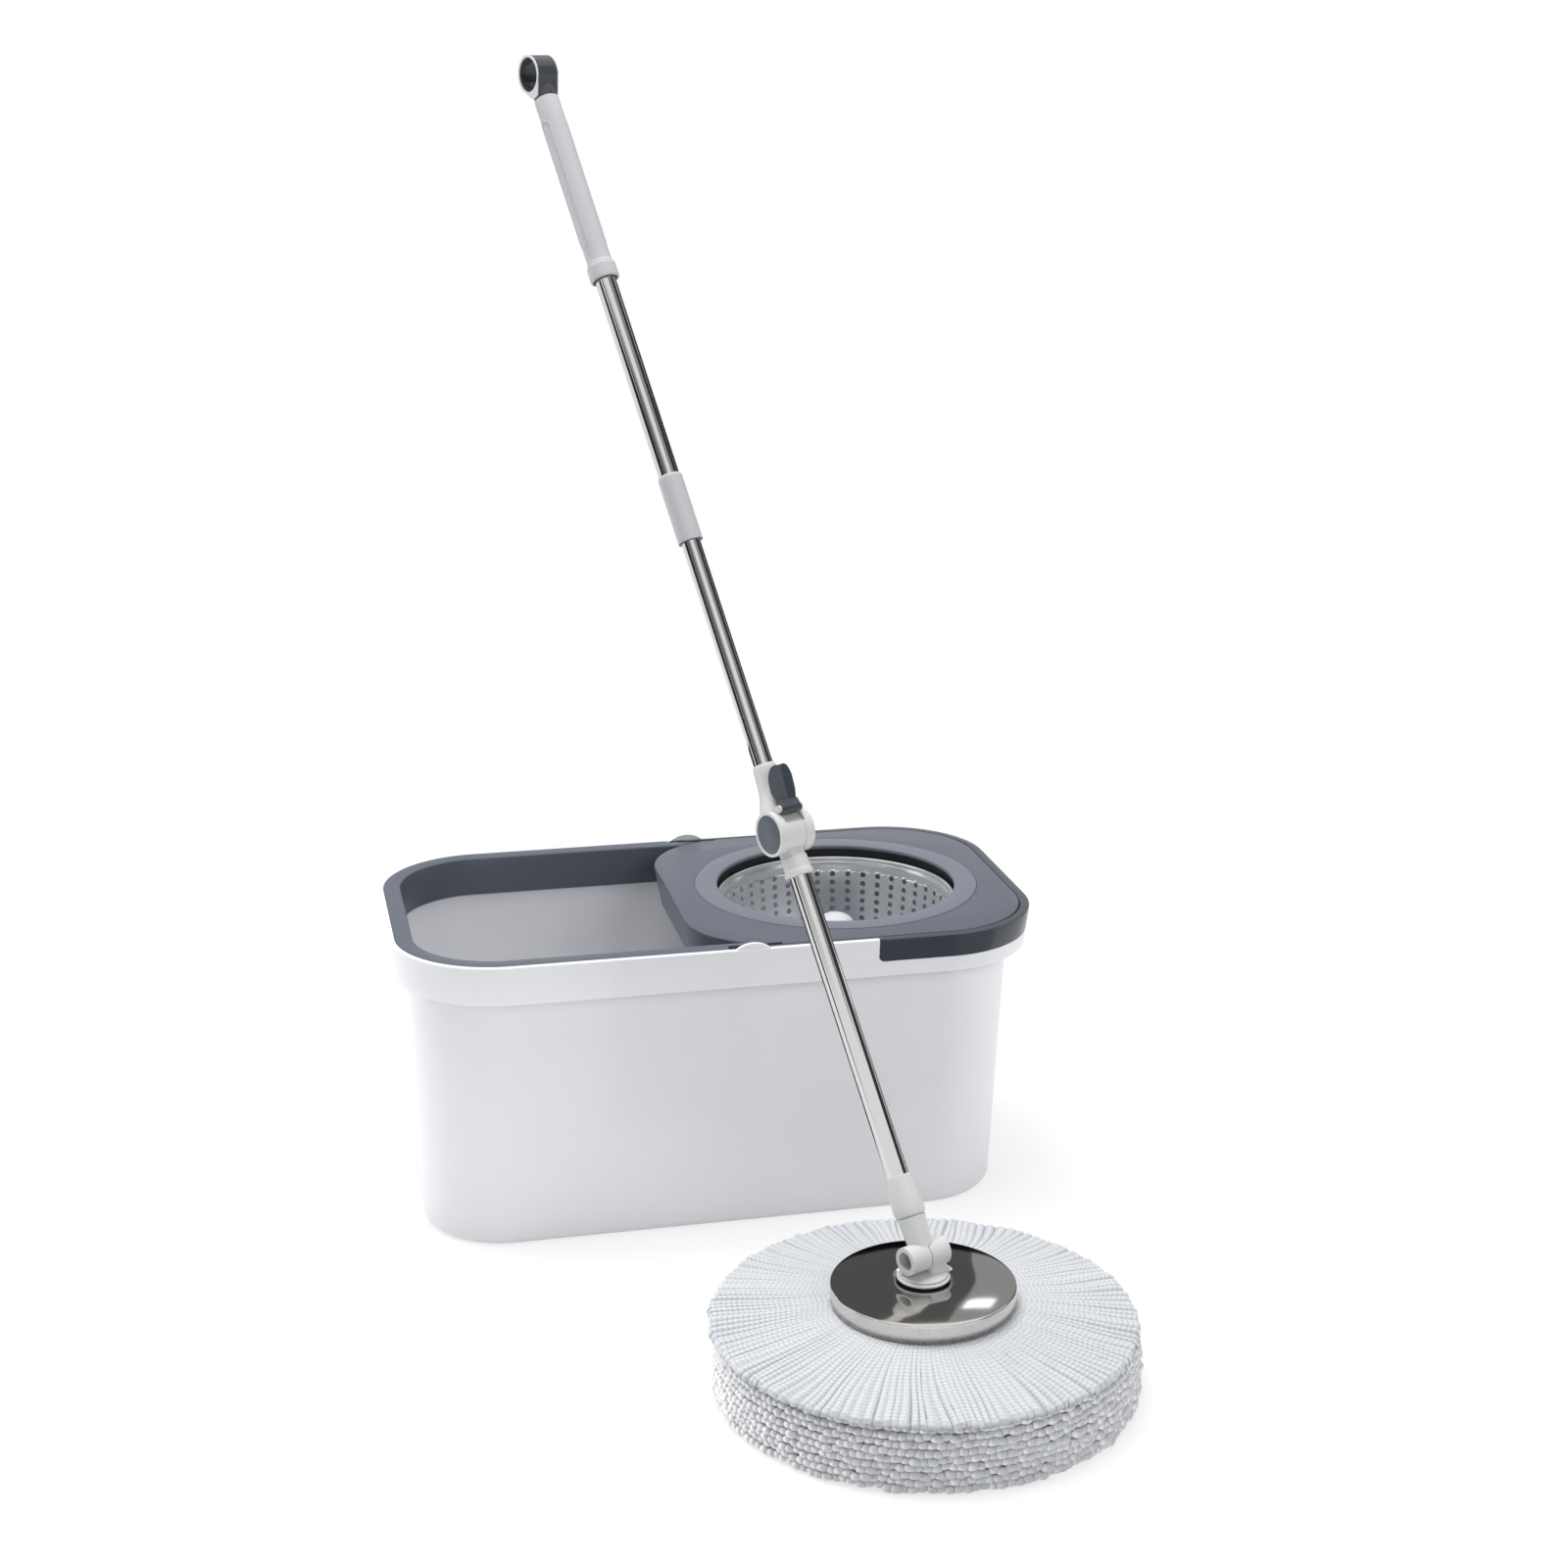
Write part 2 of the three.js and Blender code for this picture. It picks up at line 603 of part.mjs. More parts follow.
// The basket's outer line, from its centre hole out and up, and which spans hold holes.
function basketLine() {
  const line = [];
  const holes = new Set();
  const footRadius = BASKET_RADIUS - BASKET_TAPER;
  const cornerRadius = footRadius - BASKET_ROUNDING;
  line.push([HUB_SHAFT_RADIUS + 3 * GAP, basketFloor]);
  line.push([HUB_FLANGE_RADIUS + 10, basketFloor]);
  holes.add(line.length - 1);
  line.push([HUB_FLANGE_RADIUS + 26, basketFloor]);
  for (let i = 0; i <= 3; i++) {
    const angle = (Math.PI / 2) * (i / 3);
    const r = cornerRadius + BASKET_ROUNDING * Math.sin(angle);
    line.push([r, basketFloor + BASKET_ROUNDING * (1 - Math.cos(angle))]);
  }
  const wallTop = beadZ - BASKET_BEAD;
  const wallFoot = basketFloor + BASKET_ROUNDING;
  const slope = BASKET_TAPER / (wallTop - wallFoot);
  for (let row = HOLE_ROWS; row >= 0; row--) {
    const z = wallTop - 4 - row * HOLE_PITCH + 1;
    if (row > 0) holes.add(line.length);
    line.push([footRadius + slope * (z - wallFoot), z]);
  }
  line.push([BASKET_RADIUS, wallTop - 2]);
  line.push([BASKET_RADIUS + BASKET_FLARE, wallTop]);
  return { line, holes };
}

// The same line moved in by the sheet's gauge.
function movedIn(line, gauge) {
  return line.map(([r, z], i) => {
    const [r0, z0] = line[Math.max(i - 1, 0)];
    const [r1, z1] = line[Math.min(i + 1, line.length - 1)];
    const length = Math.hypot(r1 - r0, z1 - z0);
    return [r - (gauge * (z1 - z0)) / length, z + (gauge * (r1 - r0)) / length];
  });
}

// A hole's corners round its centre. A cell of the sheet lists its own four corners first,
// then the hole's six.
const HEXAGON = [0, 1, 2, 3, 4, 5].map((i) => [Math.cos((i * Math.PI) / 3), Math.sin((i * Math.PI) / 3)]);

function spinBasket() {
  const { line, holes } = basketLine();
  const inner = movedIn(line, BASKET_GAUGE);
  const roundHole = [
    [0, 1, 4], [1, 5, 4], [1, 2, 5], [2, 6, 5], [2, 7, 6],
    [2, 3, 7], [3, 8, 7], [3, 0, 8], [0, 9, 8], [0, 4, 9],
  ];
  const points = [];
  const index = [];
  const at = ([r, z], column) => {
    const angle = (2 * Math.PI * column) / HOLE_COLUMNS;
    return new THREE.Vector3(r * Math.cos(angle), r * Math.sin(angle), z);
  };
  const triangle = (a, b, c) => index.push(points.push(a, b, c) - 3, points.length - 2, points.length - 1);
  const quad = (a, b, c, d) => {
    triangle(a, b, c);
    triangle(a, c, d);
  };
  const cell = (low, high, column) => {
    const corners = [at(low, column + 1), at(high, column + 1), at(high, column), at(low, column)];
    const width = corners[0].distanceTo(corners[3]);
    const height = corners[0].distanceTo(corners[1]);
    const hole = HEXAGON.map(([u, v]) => {
      const s = 0.5 + (u * HOLE_RADIUS) / width;
      const t = 0.5 + (v * HOLE_RADIUS) / height;
      const bottom = corners[3].clone().lerp(corners[0], s);
      return bottom.lerp(corners[2].clone().lerp(corners[1], s), t);
    });
    return [...corners, ...hole];
  };
  for (let column = 0; column < HOLE_COLUMNS; column++) {
    for (let i = 0; i + 1 < line.length; i++) {
      const outside = cell(line[i], line[i + 1], column);
      const inside = cell(inner[i], inner[i + 1], column);
      if (!holes.has(i)) {
        quad(outside[0], outside[1], outside[2], outside[3]);
        quad(inside[3], inside[2], inside[1], inside[0]);
        continue;
      }
      for (const [a, b, c] of roundHole) {
        triangle(outside[a], outside[b], outside[c]);
        triangle(inside[c], inside[b], inside[a]);
      }
      for (let k = 0; k < 6; k++) {
        const [a, b] = [4 + k, 4 + ((k + 1) % 6)];
        quad(outside[a], outside[b], inside[b], inside[a]);
      }
    }
    const bead = [line.at(-1)];
    for (let i = 1; i < 6; i++) {
      const angle = THREE.MathUtils.degToRad(-60 + 52 * i);
      const r = BASKET_RADIUS + BASKET_FLARE - BASKET_GAUGE / 2 + BASKET_BEAD * Math.cos(angle);
      bead.push([r, beadZ + BASKET_BEAD * Math.sin(angle)]);
    }
    bead.push(inner.at(-1));
    for (let i = 0; i + 1 < bead.length; i++) {
      quad(at(bead[i], column + 1), at(bead[i + 1], column + 1), at(bead[i + 1], column), at(bead[i], column));
    }
    quad(at(inner[0], column + 1), at(line[0], column + 1), at(line[0], column), at(inner[0], column));
  }
  const geometry = new THREE.BufferGeometry().setFromPoints(points);
  geometry.setIndex(index);
  return outward(geometry);
}

const basket = new THREE.Group();
basket.position.x = BASKET_X;
scene.add(basket);
piece(basket, 'spin_basket', spinBasket(), STEEL);

// ---- Hub, spindle and pedestal ---------------------------------------------------------
const hubBore = SPINDLE_RADIUS + RUNNING + BUSH_WALL + GAP;
const hubFoot = basketFloor - 15;
const hubTop = basketFloor + HUB_HEIGHT;
const flangeZ = basketFloor + BASKET_GAUGE + GAP;

function basketHub() {
  const bell = [];
  for (let i = 0; i <= 6; i++) {
    const t = i / 6;
    const r = HUB_TOP_RADIUS + (HUB_FLANGE_RADIUS - 5 - HUB_TOP_RADIUS) * (1 - Math.sin((t * Math.PI) / 2));
    bell.push([r, flangeZ + 3 + (hubTop - flangeZ - 3) * t]);
  }
  return turned([
    [hubBore, hubFoot],
    [HUB_SHAFT_RADIUS - 2, hubFoot],
    [HUB_SHAFT_RADIUS, hubFoot + 2],
    [HUB_SHAFT_RADIUS, flangeZ],
    [HUB_FLANGE_RADIUS, flangeZ],
    [HUB_FLANGE_RADIUS, flangeZ + 3],
    ...bell,
    [hubBore, hubTop],
  ]);
}

function hubDome() {
  const stem = hubBore - GAP;
  const seat = hubTop + GAP;
  const dome = [];
  for (let i = 0; i <= 5; i++) {
    const angle = (Math.PI / 2) * (i / 5);
    dome.push([HUB_TOP_RADIUS * Math.cos(angle), seat + (DOME_HEIGHT - GAP) * Math.sin(angle)]);
  }
  dome.at(-1)[0] = 0;
  return turned([[0, hubTop - 5], [stem, hubTop - 5], [stem, seat], ...dome]);
}

function hubBush() {
  const inner = SPINDLE_RADIUS + RUNNING;
  const outer = inner + BUSH_WALL;
  return turned([[inner, hubFoot + 2], [outer, hubFoot + 2], [outer, hubTop - 7], [inner, hubTop - 7]], SMALL);
}

const washerTop = hubFoot - GAP;
const pedestalTop = washerTop - WASHER_THICKNESS - GAP;

function pedestal() {
  const foot = FLOOR_THICKNESS + GAP;
  const bore = SPINDLE_RADIUS + RUNNING;
  const column = turned([
    [bore, foot],
    [PEDESTAL_BASE_RADIUS, foot],
    [PEDESTAL_BASE_RADIUS, foot + 4],
    [PEDESTAL_TOP_RADIUS + 6, foot + 8],
    [PEDESTAL_TOP_RADIUS, pedestalTop - 10],
    [PEDESTAL_TOP_RADIUS, pedestalTop],
    [bore, pedestalTop],
  ]);
  const inside = bore + 3;
  const ribs = [];
  for (let i = 0; i < 4; i++) {
    const outline = [
      [inside, foot + 1],
      [PEDESTAL_BASE_RADIUS - 3, foot + 1],
      [PEDESTAL_BASE_RADIUS - 3, foot + 6],
      [PEDESTAL_TOP_RADIUS - 1, pedestalTop - PEDESTAL_RIB_DROP],
      [inside, pedestalTop - PEDESTAL_RIB_DROP],
    ];
    ribs.push(extrudedAlongY(outline, -1.5, 1.5).rotateZ((i * Math.PI) / 2 + Math.PI / 4));
  }
  return carve([column, ...ribs]);
}

const spindleBottom = FLOOR_THICKNESS + GAP + 12;
const spindleTop = hubTop - 7;
const spindle = new THREE.CylinderGeometry(SPINDLE_RADIUS, SPINDLE_RADIUS, spindleTop - spindleBottom, SMALL);
spindle.rotateX(Math.PI / 2).translate(0, 0, (spindleTop + spindleBottom) / 2);

const washer = turned([
  [SPINDLE_RADIUS + RUNNING, washerTop - WASHER_THICKNESS],
  [PEDESTAL_TOP_RADIUS - 2, washerTop - WASHER_THICKNESS],
  [PEDESTAL_TOP_RADIUS - 2, washerTop],
  [SPINDLE_RADIUS + RUNNING, washerTop],
], SMALL);

piece(basket, 'basket_hub', basketHub(), PALE_SLATE_PLASTIC);
piece(basket, 'hub_dome', hubDome(), WHITE_PLASTIC);
piece(basket, 'hub_bush', hubBush(), BRONZE);
piece(basket, 'spindle', weld(spindle), STEEL);
piece(basket, 'thrust_washer', washer, STEEL);
piece(basket, 'pedestal', pedestal(), SLATE_PLASTIC);

// ---- Mop head --------------------------------------------------------------------------
const mop = new THREE.Group();
mop.position.set(MOP_X, MOP_Y, 0);
mop.rotation.z = THREE.MathUtils.degToRad(PIN_TURN);
scene.add(mop);

const coverFoot = COVER_RIM_HEIGHT - COVER_BAND;
const coverCrown = COVER_RIM_HEIGHT + COVER_DOME;
const recessRadius = FLANGE_RADIUS + 9;
const recessZ = coverCrown - 2.4;
const tiltZ = COVER_RIM_HEIGHT + KNUCKLE_HEIGHT;
const flangeSeat = recessZ + GAP;

function yarnHead() {
  const pocket = COVER_RADIUS - 1.4;
  return turned([
    [0, 0],
    [YARN_RADIUS - 10, 0],
    [YARN_RADIUS - 2, 5],
    [YARN_RADIUS, 14],
    [YARN_RADIUS, YARN_EDGE_HEIGHT - 10],
    [YARN_RADIUS - 3, YARN_EDGE_HEIGHT - 2],
    [YARN_RADIUS - 10, YARN_EDGE_HEIGHT + 1],
    [COVER_RADIUS + 1, coverFoot - GAP],
    [pocket, coverFoot - GAP],
    [pocket, YARN_PLATE_HEIGHT],
    [0, YARN_PLATE_HEIGHT],
  ], BROAD);
}

const ringOuter = COVER_RADIUS - 2.2;
const ringTop = YARN_PLATE_HEIGHT + GAP + RING_HEIGHT;

function yarnRing() {
  const foot = YARN_PLATE_HEIGHT + GAP;
  return turned([
    [ringOuter - RING_WIDTH, foot],
    [ringOuter, foot],
    [ringOuter, ringTop - 3],
    [ringOuter - 3, ringTop],
    [ringOuter - RING_WIDTH, ringTop],
  ], BROAD);
}

function headPlate() {
  const bottom = ringTop + GAP;
  const under = COVER_GAUGE + GAP;
  const socket = SOCKET_RADIUS + GAP;
  const screw = HEAD_SCREW_RADIUS + GAP;
  return turned([
    [screw, bottom],
    [ringOuter, bottom],
    [ringOuter, COVER_RIM_HEIGHT - 3],
    [ringOuter - 1.5, COVER_RIM_HEIGHT - under - 0.2],
    [recessRadius + 5, coverCrown - under],
    [recessRadius + 2.4, coverCrown - under - 0.8],
    [recessRadius, recessZ - under],
    [socket, recessZ - under],
    [socket, flangeSeat - SOCKET_DEPTH - GAP],
    [screw, flangeSeat - SOCKET_DEPTH - GAP],
  ], BROAD);
}

function steelCover() {
  const inner = COVER_RADIUS - COVER_GAUGE;
  const hole = SOCKET_RADIUS + GAP;
  const line = [
    [hole, recessZ],
    [recessRadius, recessZ],
    [recessRadius + 2, recessZ + 1.4],
    [recessRadius + 5, coverCrown],
    [COVER_RADIUS - 3, COVER_RIM_HEIGHT + 0.6],
    [COVER_RADIUS - 0.8, COVER_RIM_HEIGHT - 0.4],
    [COVER_RADIUS, COVER_RIM_HEIGHT - 1.8],
    [COVER_RADIUS, coverFoot],
  ];
  return turned([
    ...line,
    [inner, coverFoot],
    [inner, COVER_RIM_HEIGHT - 2.1],
    [inner - 0.6, COVER_RIM_HEIGHT - 1],
    [COVER_RADIUS - 3.1, COVER_RIM_HEIGHT + 0.6 - COVER_GAUGE],
    [recessRadius + 5, coverCrown - COVER_GAUGE],
    [recessRadius + 2.3, recessZ + 1.4 - COVER_GAUGE],
    [recessRadius + 0.2, recessZ - COVER_GAUGE],
    [hole, recessZ - COVER_GAUGE],
  ], BROAD);
}

// The yoke's flange sits on the cover, its stem goes through to the plate, and the right
// half of the tilt knuckle stands on it.
function yoke() {
  const half = KNUCKLE_LENGTH / 2;
  const flangeTop = flangeSeat + FLANGE_THICKNESS;
  const stem = turned([
    [0, flangeSeat - SOCKET_DEPTH],
    [SOCKET_RADIUS, flangeSeat - SOCKET_DEPTH],
    [SOCKET_RADIUS, flangeSeat],
    [FLANGE_RADIUS - 0.8, flangeSeat],
    [FLANGE_RADIUS, flangeSeat + 0.9],
    [FLANGE_RADIUS - 0.6, flangeTop - 1.4],
    [FLANGE_RADIUS - 3, flangeTop],
    [0, flangeTop + 1],
  ]);
  const neck = extrudedAlongY([
    [GAP, flangeTop - 1],
    [half - 1, flangeTop - 1],
    [half - 2.5, flangeTop + 3],
    [half - 2.5, tiltZ],
    [GAP, tiltZ],
  ], -KNUCKLE_RADIUS + 2, KNUCKLE_RADIUS - 2);
  const knuckle = crossRod(GAP, half, KNUCKLE_RADIUS, 0, tiltZ);
  const swing = crossRod(-half - 1, GAP, KNUCKLE_RADIUS + GAP, 0, tiltZ);
  const bore = crossRod(-1, half + 1, TILT_PIN_RADIUS + RUNNING, 0, tiltZ, SMALL);
  const recess = crossRod(half - KNUCKLE_RECESS + 2, half + 1, KNUCKLE_RADIUS - 3.4, 0, tiltZ);
  const screw = turned([
    [0, flangeSeat - SOCKET_DEPTH - 1],
    [HEAD_SCREW_RADIUS + GAP, flangeSeat - SOCKET_DEPTH - 1],
    [HEAD_SCREW_RADIUS + GAP, flangeSeat - 1],
    [0, flangeSeat - 1],
  ], SMALL);
  return carve([stem, neck, knuckle], [swing, bore, recess, screw]);
}

function yokeScrew() {
  const head = ringTop;
  return turned([
    [0, head - 3],
    [5.4, head - 3],
    [5.8, head - 1],
    [5.8, head],
    [HEAD_SCREW_RADIUS, head],
    [HEAD_SCREW_RADIUS, flangeSeat - 2],
    [0, flangeSeat - 2],
  ], SMALL);
}

function tiltPin() {
  const half = KNUCKLE_LENGTH / 2;
  const left = -half + KNUCKLE_RECESS - GAP;
  const shaft = crossRod(left - 1, half - KNUCKLE_RECESS + 3, TILT_PIN_RADIUS, 0, 0, SMALL);
  const head = crossRod(left - 2.2, left, TILT_PIN_RADIUS + 2, 0, 0, SMALL);
  return carve([shaft, head]);
}

piece(mop, 'yarn_head', yarnHead(), YARN);
piece(mop, 'yarn_ring', yarnRing(), WHITE_PLASTIC);
piece(mop, 'head_plate', headPlate(), WHITE_PLASTIC);
piece(mop, 'steel_cover', steelCover(), STEEL);
piece(mop, 'yoke', yoke(), JOINT_PLASTIC);
piece(mop, 'yoke_screw', yokeScrew(), DARK_STEEL);

// ---- Lower pole ------------------------------------------------------------------------
const pole = new THREE.Group();
pole.position.z = tiltZ;
pole.rotation.x = -THREE.MathUtils.degToRad(POLE_LEAN);
mop.add(pole);

const tubeBore = TUBE_RADIUS - TUBE_WALL;
const tubeSocket = TUBE_RADIUS + GAP;
const ferruleTop = CONE_TOP + FERRULE_LENGTH;

function poleKnuckle() {
  const half = KNUCKLE_LENGTH / 2;
  const spigot = tubeBore - GAP;
  const cone = turned([
    [0, 0],
    [CONE_FOOT_RADIUS - 0.6, 0],
    [CONE_FOOT_RADIUS, KNUCKLE_RADIUS - 2],
    [CONE_TOP_RADIUS, CONE_TOP],
    [spigot, CONE_TOP],
    [spigot, CONE_TOP + SPIGOT_LENGTH],
    [0, CONE_TOP + SPIGOT_LENGTH],
  ]);
  const knuckle = crossRod(-half, -GAP, KNUCKLE_RADIUS);
  const swing = crossRod(-GAP, half + 1, KNUCKLE_RADIUS + 2 * GAP);
  const bore = crossRod(-half - 1, 1, TILT_PIN_RADIUS + RUNNING, 0, 0, SMALL);
  const recess = crossRod(-half - 1, -half + KNUCKLE_RECESS, KNUCKLE_RADIUS - 3.4);
  return carve([cone, knuckle], [swing, bore, recess]);
}

function ferrule() {
  return turned([
    [tubeSocket, CONE_TOP + GAP],
    [FERRULE_RADIUS - 0.9, CONE_TOP + GAP],
    [FERRULE_RADIUS - 0.4, CONE_TOP + 1.5],
    [FERRULE_RADIUS, CONE_TOP + 6],
    [FERRULE_RADIUS - 0.4, CONE_TOP + 13],
    [tubeSocket + 1, ferruleTop - 1],
    [tubeSocket + 0.6, ferruleTop],
    [tubeSocket, ferruleTop],
  ]);
}

function tube(outer, bottom, top) {
  const inner = outer - TUBE_WALL;
  return turned([[inner, bottom], [outer, bottom], [outer, top], [inner, top]]);
}

const foldRoom = FOLD_RADIUS + 2 * GAP;
const lowerSleeveTop = FOLD_CENTRE - foldRoom;
const lowerSleeveBottom = lowerSleeveTop - LOWER_SLEEVE_LENGTH;
const lowerTubeTop = lowerSleeveTop - 4;

function hingeLower() {
  const outer = tubeSocket + SLEEVE_WALL;
  const sleeve = turned([
    [tubeSocket, lowerSleeveBottom],
    [outer + 0.3, lowerSleeveBottom],
    [outer + 0.9, lowerSleeveBottom + 0.8],
    [outer + 0.9, lowerSleeveBottom + LOWER_COLLAR_HEIGHT - 1],
    [outer, lowerSleeveBottom + LOWER_COLLAR_HEIGHT],
    [outer, lowerSleeveTop],
    [0, lowerSleeveTop],
    [0, lowerTubeTop + GAP],
    [tubeSocket, lowerTubeTop + GAP],
    [tubeSocket, lowerSleeveBottom],
  ]);
  const half = FOLD_KNUCKLE / 2;
  const knuckle = crossRod(-half, half, FOLD_RADIUS, 0, FOLD_CENTRE, ROUND);
  const neck = box(-half, half, -outer + 0.5, outer - 0.5, lowerSleeveTop - 1.5, FOLD_CENTRE);
  const bore = crossRod(-half - 1, half + 1, FOLD_PIN_RADIUS + RUNNING, 0, FOLD_CENTRE, SMALL);
  const notch = box(-half + 1, half - 1, -FOLD_RADIUS - 1, -FOLD_RADIUS + 2.4, -1.6, 1.6);
  notch.rotateX(THREE.MathUtils.degToRad(-14)).translate(0, 0, FOLD_CENTRE);
  return carve([sleeve, knuckle, neck], [bore, notch]);
}

piece(mop, 'tilt_pin', tiltPin().translate(0, 0, tiltZ), STEEL);
piece(pole, 'pole_knuckle', poleKnuckle(), JOINT_PLASTIC);
piece(pole, 'ferrule', ferrule(), JOINT_PLASTIC);
piece(pole, 'lower_tube', tube(TUBE_RADIUS, CONE_TOP + 2 * GAP, lowerTubeTop), STEEL);
piece(pole, 'hinge_lower', hingeLower(), JOINT_PLASTIC);

// ---- Fold joint ------------------------------------------------------------------------
const cheekInner = FOLD_KNUCKLE / 2 + GAP;
const cheekOuter = FOLD_LENGTH / 2;
const forkTop = FOLD_CENTRE + foldRoom;
const upperSleeveTop = forkTop + UPPER_SLEEVE_LENGTH;
const middleSocket = MIDDLE_TUBE_RADIUS + GAP;
const leverY = -LEVER_PIVOT_FORWARD;
const leverZ = FOLD_CENTRE + LEVER_PIVOT_RISE;
const earWidth = 2.4;

// A fork with two round cheeks, one on each side of the lower knuckle, a sleeve for the
// middle tube and two ears that carry the lever's pin.
function hingeUpper() {
  const parts = [];
  const fork = extrudedAlongY([
    [-cheekOuter, FOLD_CENTRE],
    [-cheekInner, FOLD_CENTRE],
    [-cheekInner, forkTop],
    [cheekInner, forkTop],
    [cheekInner, FOLD_CENTRE],
    [cheekOuter, FOLD_CENTRE],
    [cheekOuter, forkTop - 3],
    [middleSocket + 2, forkTop + 16],
    [-middleSocket - 2, forkTop + 16],
    [-cheekOuter, forkTop - 3],
  ], -7, 7);
  parts.push(fork);
  parts.push(crossRod(-cheekOuter, -cheekInner, FOLD_RADIUS, 0, FOLD_CENTRE, ROUND));
  parts.push(crossRod(cheekInner, cheekOuter, FOLD_RADIUS, 0, FOLD_CENTRE, ROUND));
  parts.push(turned([
    [0, forkTop],
    [middleSocket + 3, forkTop],
    [middleSocket + 2.2, forkTop + 16],
    [middleSocket + SLEEVE_WALL, upperSleeveTop - 3],
    [middleSocket + 0.7, upperSleeveTop],
    [0, upperSleeveTop],
  ], 32));
  for (const side of [-1, 1]) {
    const near = side * (LEVER_WIDTH / 2 + GAP);
    const far = near + side * earWidth;
    const [x0, x1] = [near, far].sort((a, b) => a - b);
    parts.push(crossRod(x0, x1, LEVER_FOOT_RADIUS, leverY, leverZ, SMALL));
    parts.push(box(x0, x1, leverY, -6, leverZ - LEVER_FOOT_RADIUS, leverZ + LEVER_FOOT_RADIUS + 2));
  }
  const removed = [crossRod(-cheekInner, cheekInner, foldRoom, 0, FOLD_CENTRE, 40)];
  removed.push(turned([
    [0, forkTop + 3],
    [middleSocket, forkTop + 3],
    [middleSocket, upperSleeveTop + 1],
    [0, upperSleeveTop + 1],
  ], 32));
  removed.push(crossRod(-cheekOuter, cheekOuter, FOLD_PIN_RADIUS + RUNNING, 0, FOLD_CENTRE, SMALL));
  removed.push(crossRod(-cheekOuter, cheekOuter, LEVER_PIN_RADIUS + RUNNING, leverY, leverZ, SMALL));
  const capRoom = CAP_THICKNESS + 2 * GAP;
  removed.push(crossRod(-cheekOuter - 1, -cheekOuter + capRoom, CAP_RADIUS + GAP, 0, FOLD_CENTRE, ROUND));
  removed.push(crossRod(cheekOuter - capRoom, cheekOuter + 1, CAP_RADIUS + GAP, 0, FOLD_CENTRE, ROUND));
  return carve(parts, removed);
}

function hingeCap(side) {
  const outer = side * (cheekOuter - GAP);
  const inner = outer - side * CAP_THICKNESS;
  const [x0, x1] = [outer, inner].sort((a, b) => a - b);
  return weld(crossRod(x0, x1, CAP_RADIUS, 0, FOLD_CENTRE, ROUND));
}

// The lever's plate is a curved leaf with a ridge down its middle and a top with two lobes.
// It stands a little away from the sleeve; its foot is a round bar on the lever pin.
function lockLever() {
  const rise = LEVER_FOOT_RADIUS + 3; // of the plate's lower edge over the pin
  const tall = upperSleeveTop + 1.5 - leverZ;
  const face = (x) => -LEVER_FACE + (x * x) / (2 * LEVER_CURVE);
  const section = new THREE.Shape();
  const steps = 8;
  section.moveTo(-LEVER_REACH, face(LEVER_REACH) + LEVER_THICKNESS);
  for (let i = -steps; i <= steps; i++) {
    const x = (LEVER_REACH * i) / steps;
    section.lineTo(x, face(x) - (i === 0 ? LEVER_RIDGE : 0));
  }
  for (let i = steps; i > -steps; i--) {
    const x = (LEVER_REACH * i) / steps;
    section.lineTo(x, face(x) + LEVER_THICKNESS);
  }
  const plate = new THREE.ExtrudeGeometry(section, { depth: tall - rise, bevelEnabled: false }).translate(0, 0, rise);
  const half = LEVER_WIDTH / 2;
  const lobes = new THREE.Shape();
  lobes.moveTo(-half, rise - 1);
  lobes.lineTo(half, rise - 1);
  lobes.quadraticCurveTo(LEVER_REACH, rise + 4, LEVER_REACH, rise + 10);
  lobes.lineTo(LEVER_REACH, rise + 19);
  lobes.quadraticCurveTo(LEVER_REACH - 1, tall - 1, LEVER_REACH / 2, tall);
  lobes.quadraticCurveTo(1.5, tall, 0, tall - 3.5);
  lobes.quadraticCurveTo(-1.5, tall, -LEVER_REACH / 2, tall);
  lobes.quadraticCurveTo(1 - LEVER_REACH, tall - 1, -LEVER_REACH, rise + 19);
  lobes.lineTo(-LEVER_REACH, rise + 10);
  lobes.quadraticCurveTo(-LEVER_REACH, rise + 4, -half, rise - 1);
  const room = 2 * LEVER_CURVE;
  const outline = new THREE.ExtrudeGeometry(lobes, { depth: 2 * room, bevelEnabled: false, curveSegments: 6 });
  outline.rotateX(Math.PI / 2).translate(0, room, 0);
  const neck = box(-half, half, 0.3 - LEVER_FACE, LEVER_THICKNESS - LEVER_FACE, 0, rise + 1);
  const foot = crossRod(-half, half, LEVER_FOOT_RADIUS, 0, 0, SMALL);
  const bore = crossRod(-half - 1, half + 1, LEVER_PIN_RADIUS + RUNNING, 0, 0, SMALL);
  const lever = carve([common(plate, outline), neck, foot], [bore]);
  return lever.rotateX(THREE.MathUtils.degToRad(LEVER_LEAN)).translate(0, leverY, leverZ);
}

const leverPinHalf = LEVER_WIDTH / 2 + GAP + earWidth - GAP;
const foldPinHalf = FOLD_LENGTH / 2 - CAP_THICKNESS - 3 * GAP;
const foldPin = crossRod(-foldPinHalf, foldPinHalf, FOLD_PIN_RADIUS, 0, FOLD_CENTRE, SMALL);
const leverPin = crossRod(-leverPinHalf, leverPinHalf, LEVER_PIN_RADIUS, leverY, leverZ, SMALL);
piece(pole, 'fold_pin', weld(foldPin), STEEL);
piece(pole, 'hinge_upper', hingeUpper(), JOINT_PLASTIC);
piece(pole, 'hinge_cap_left', hingeCap(-1), SLATE_PLASTIC);
piece(pole, 'hinge_cap_right', hingeCap(1), SLATE_PLASTIC);
piece(pole, 'lock_lever', lockLever(), DARK_PLASTIC);
piece(pole, 'lever_pin', weld(leverPin), STEEL);

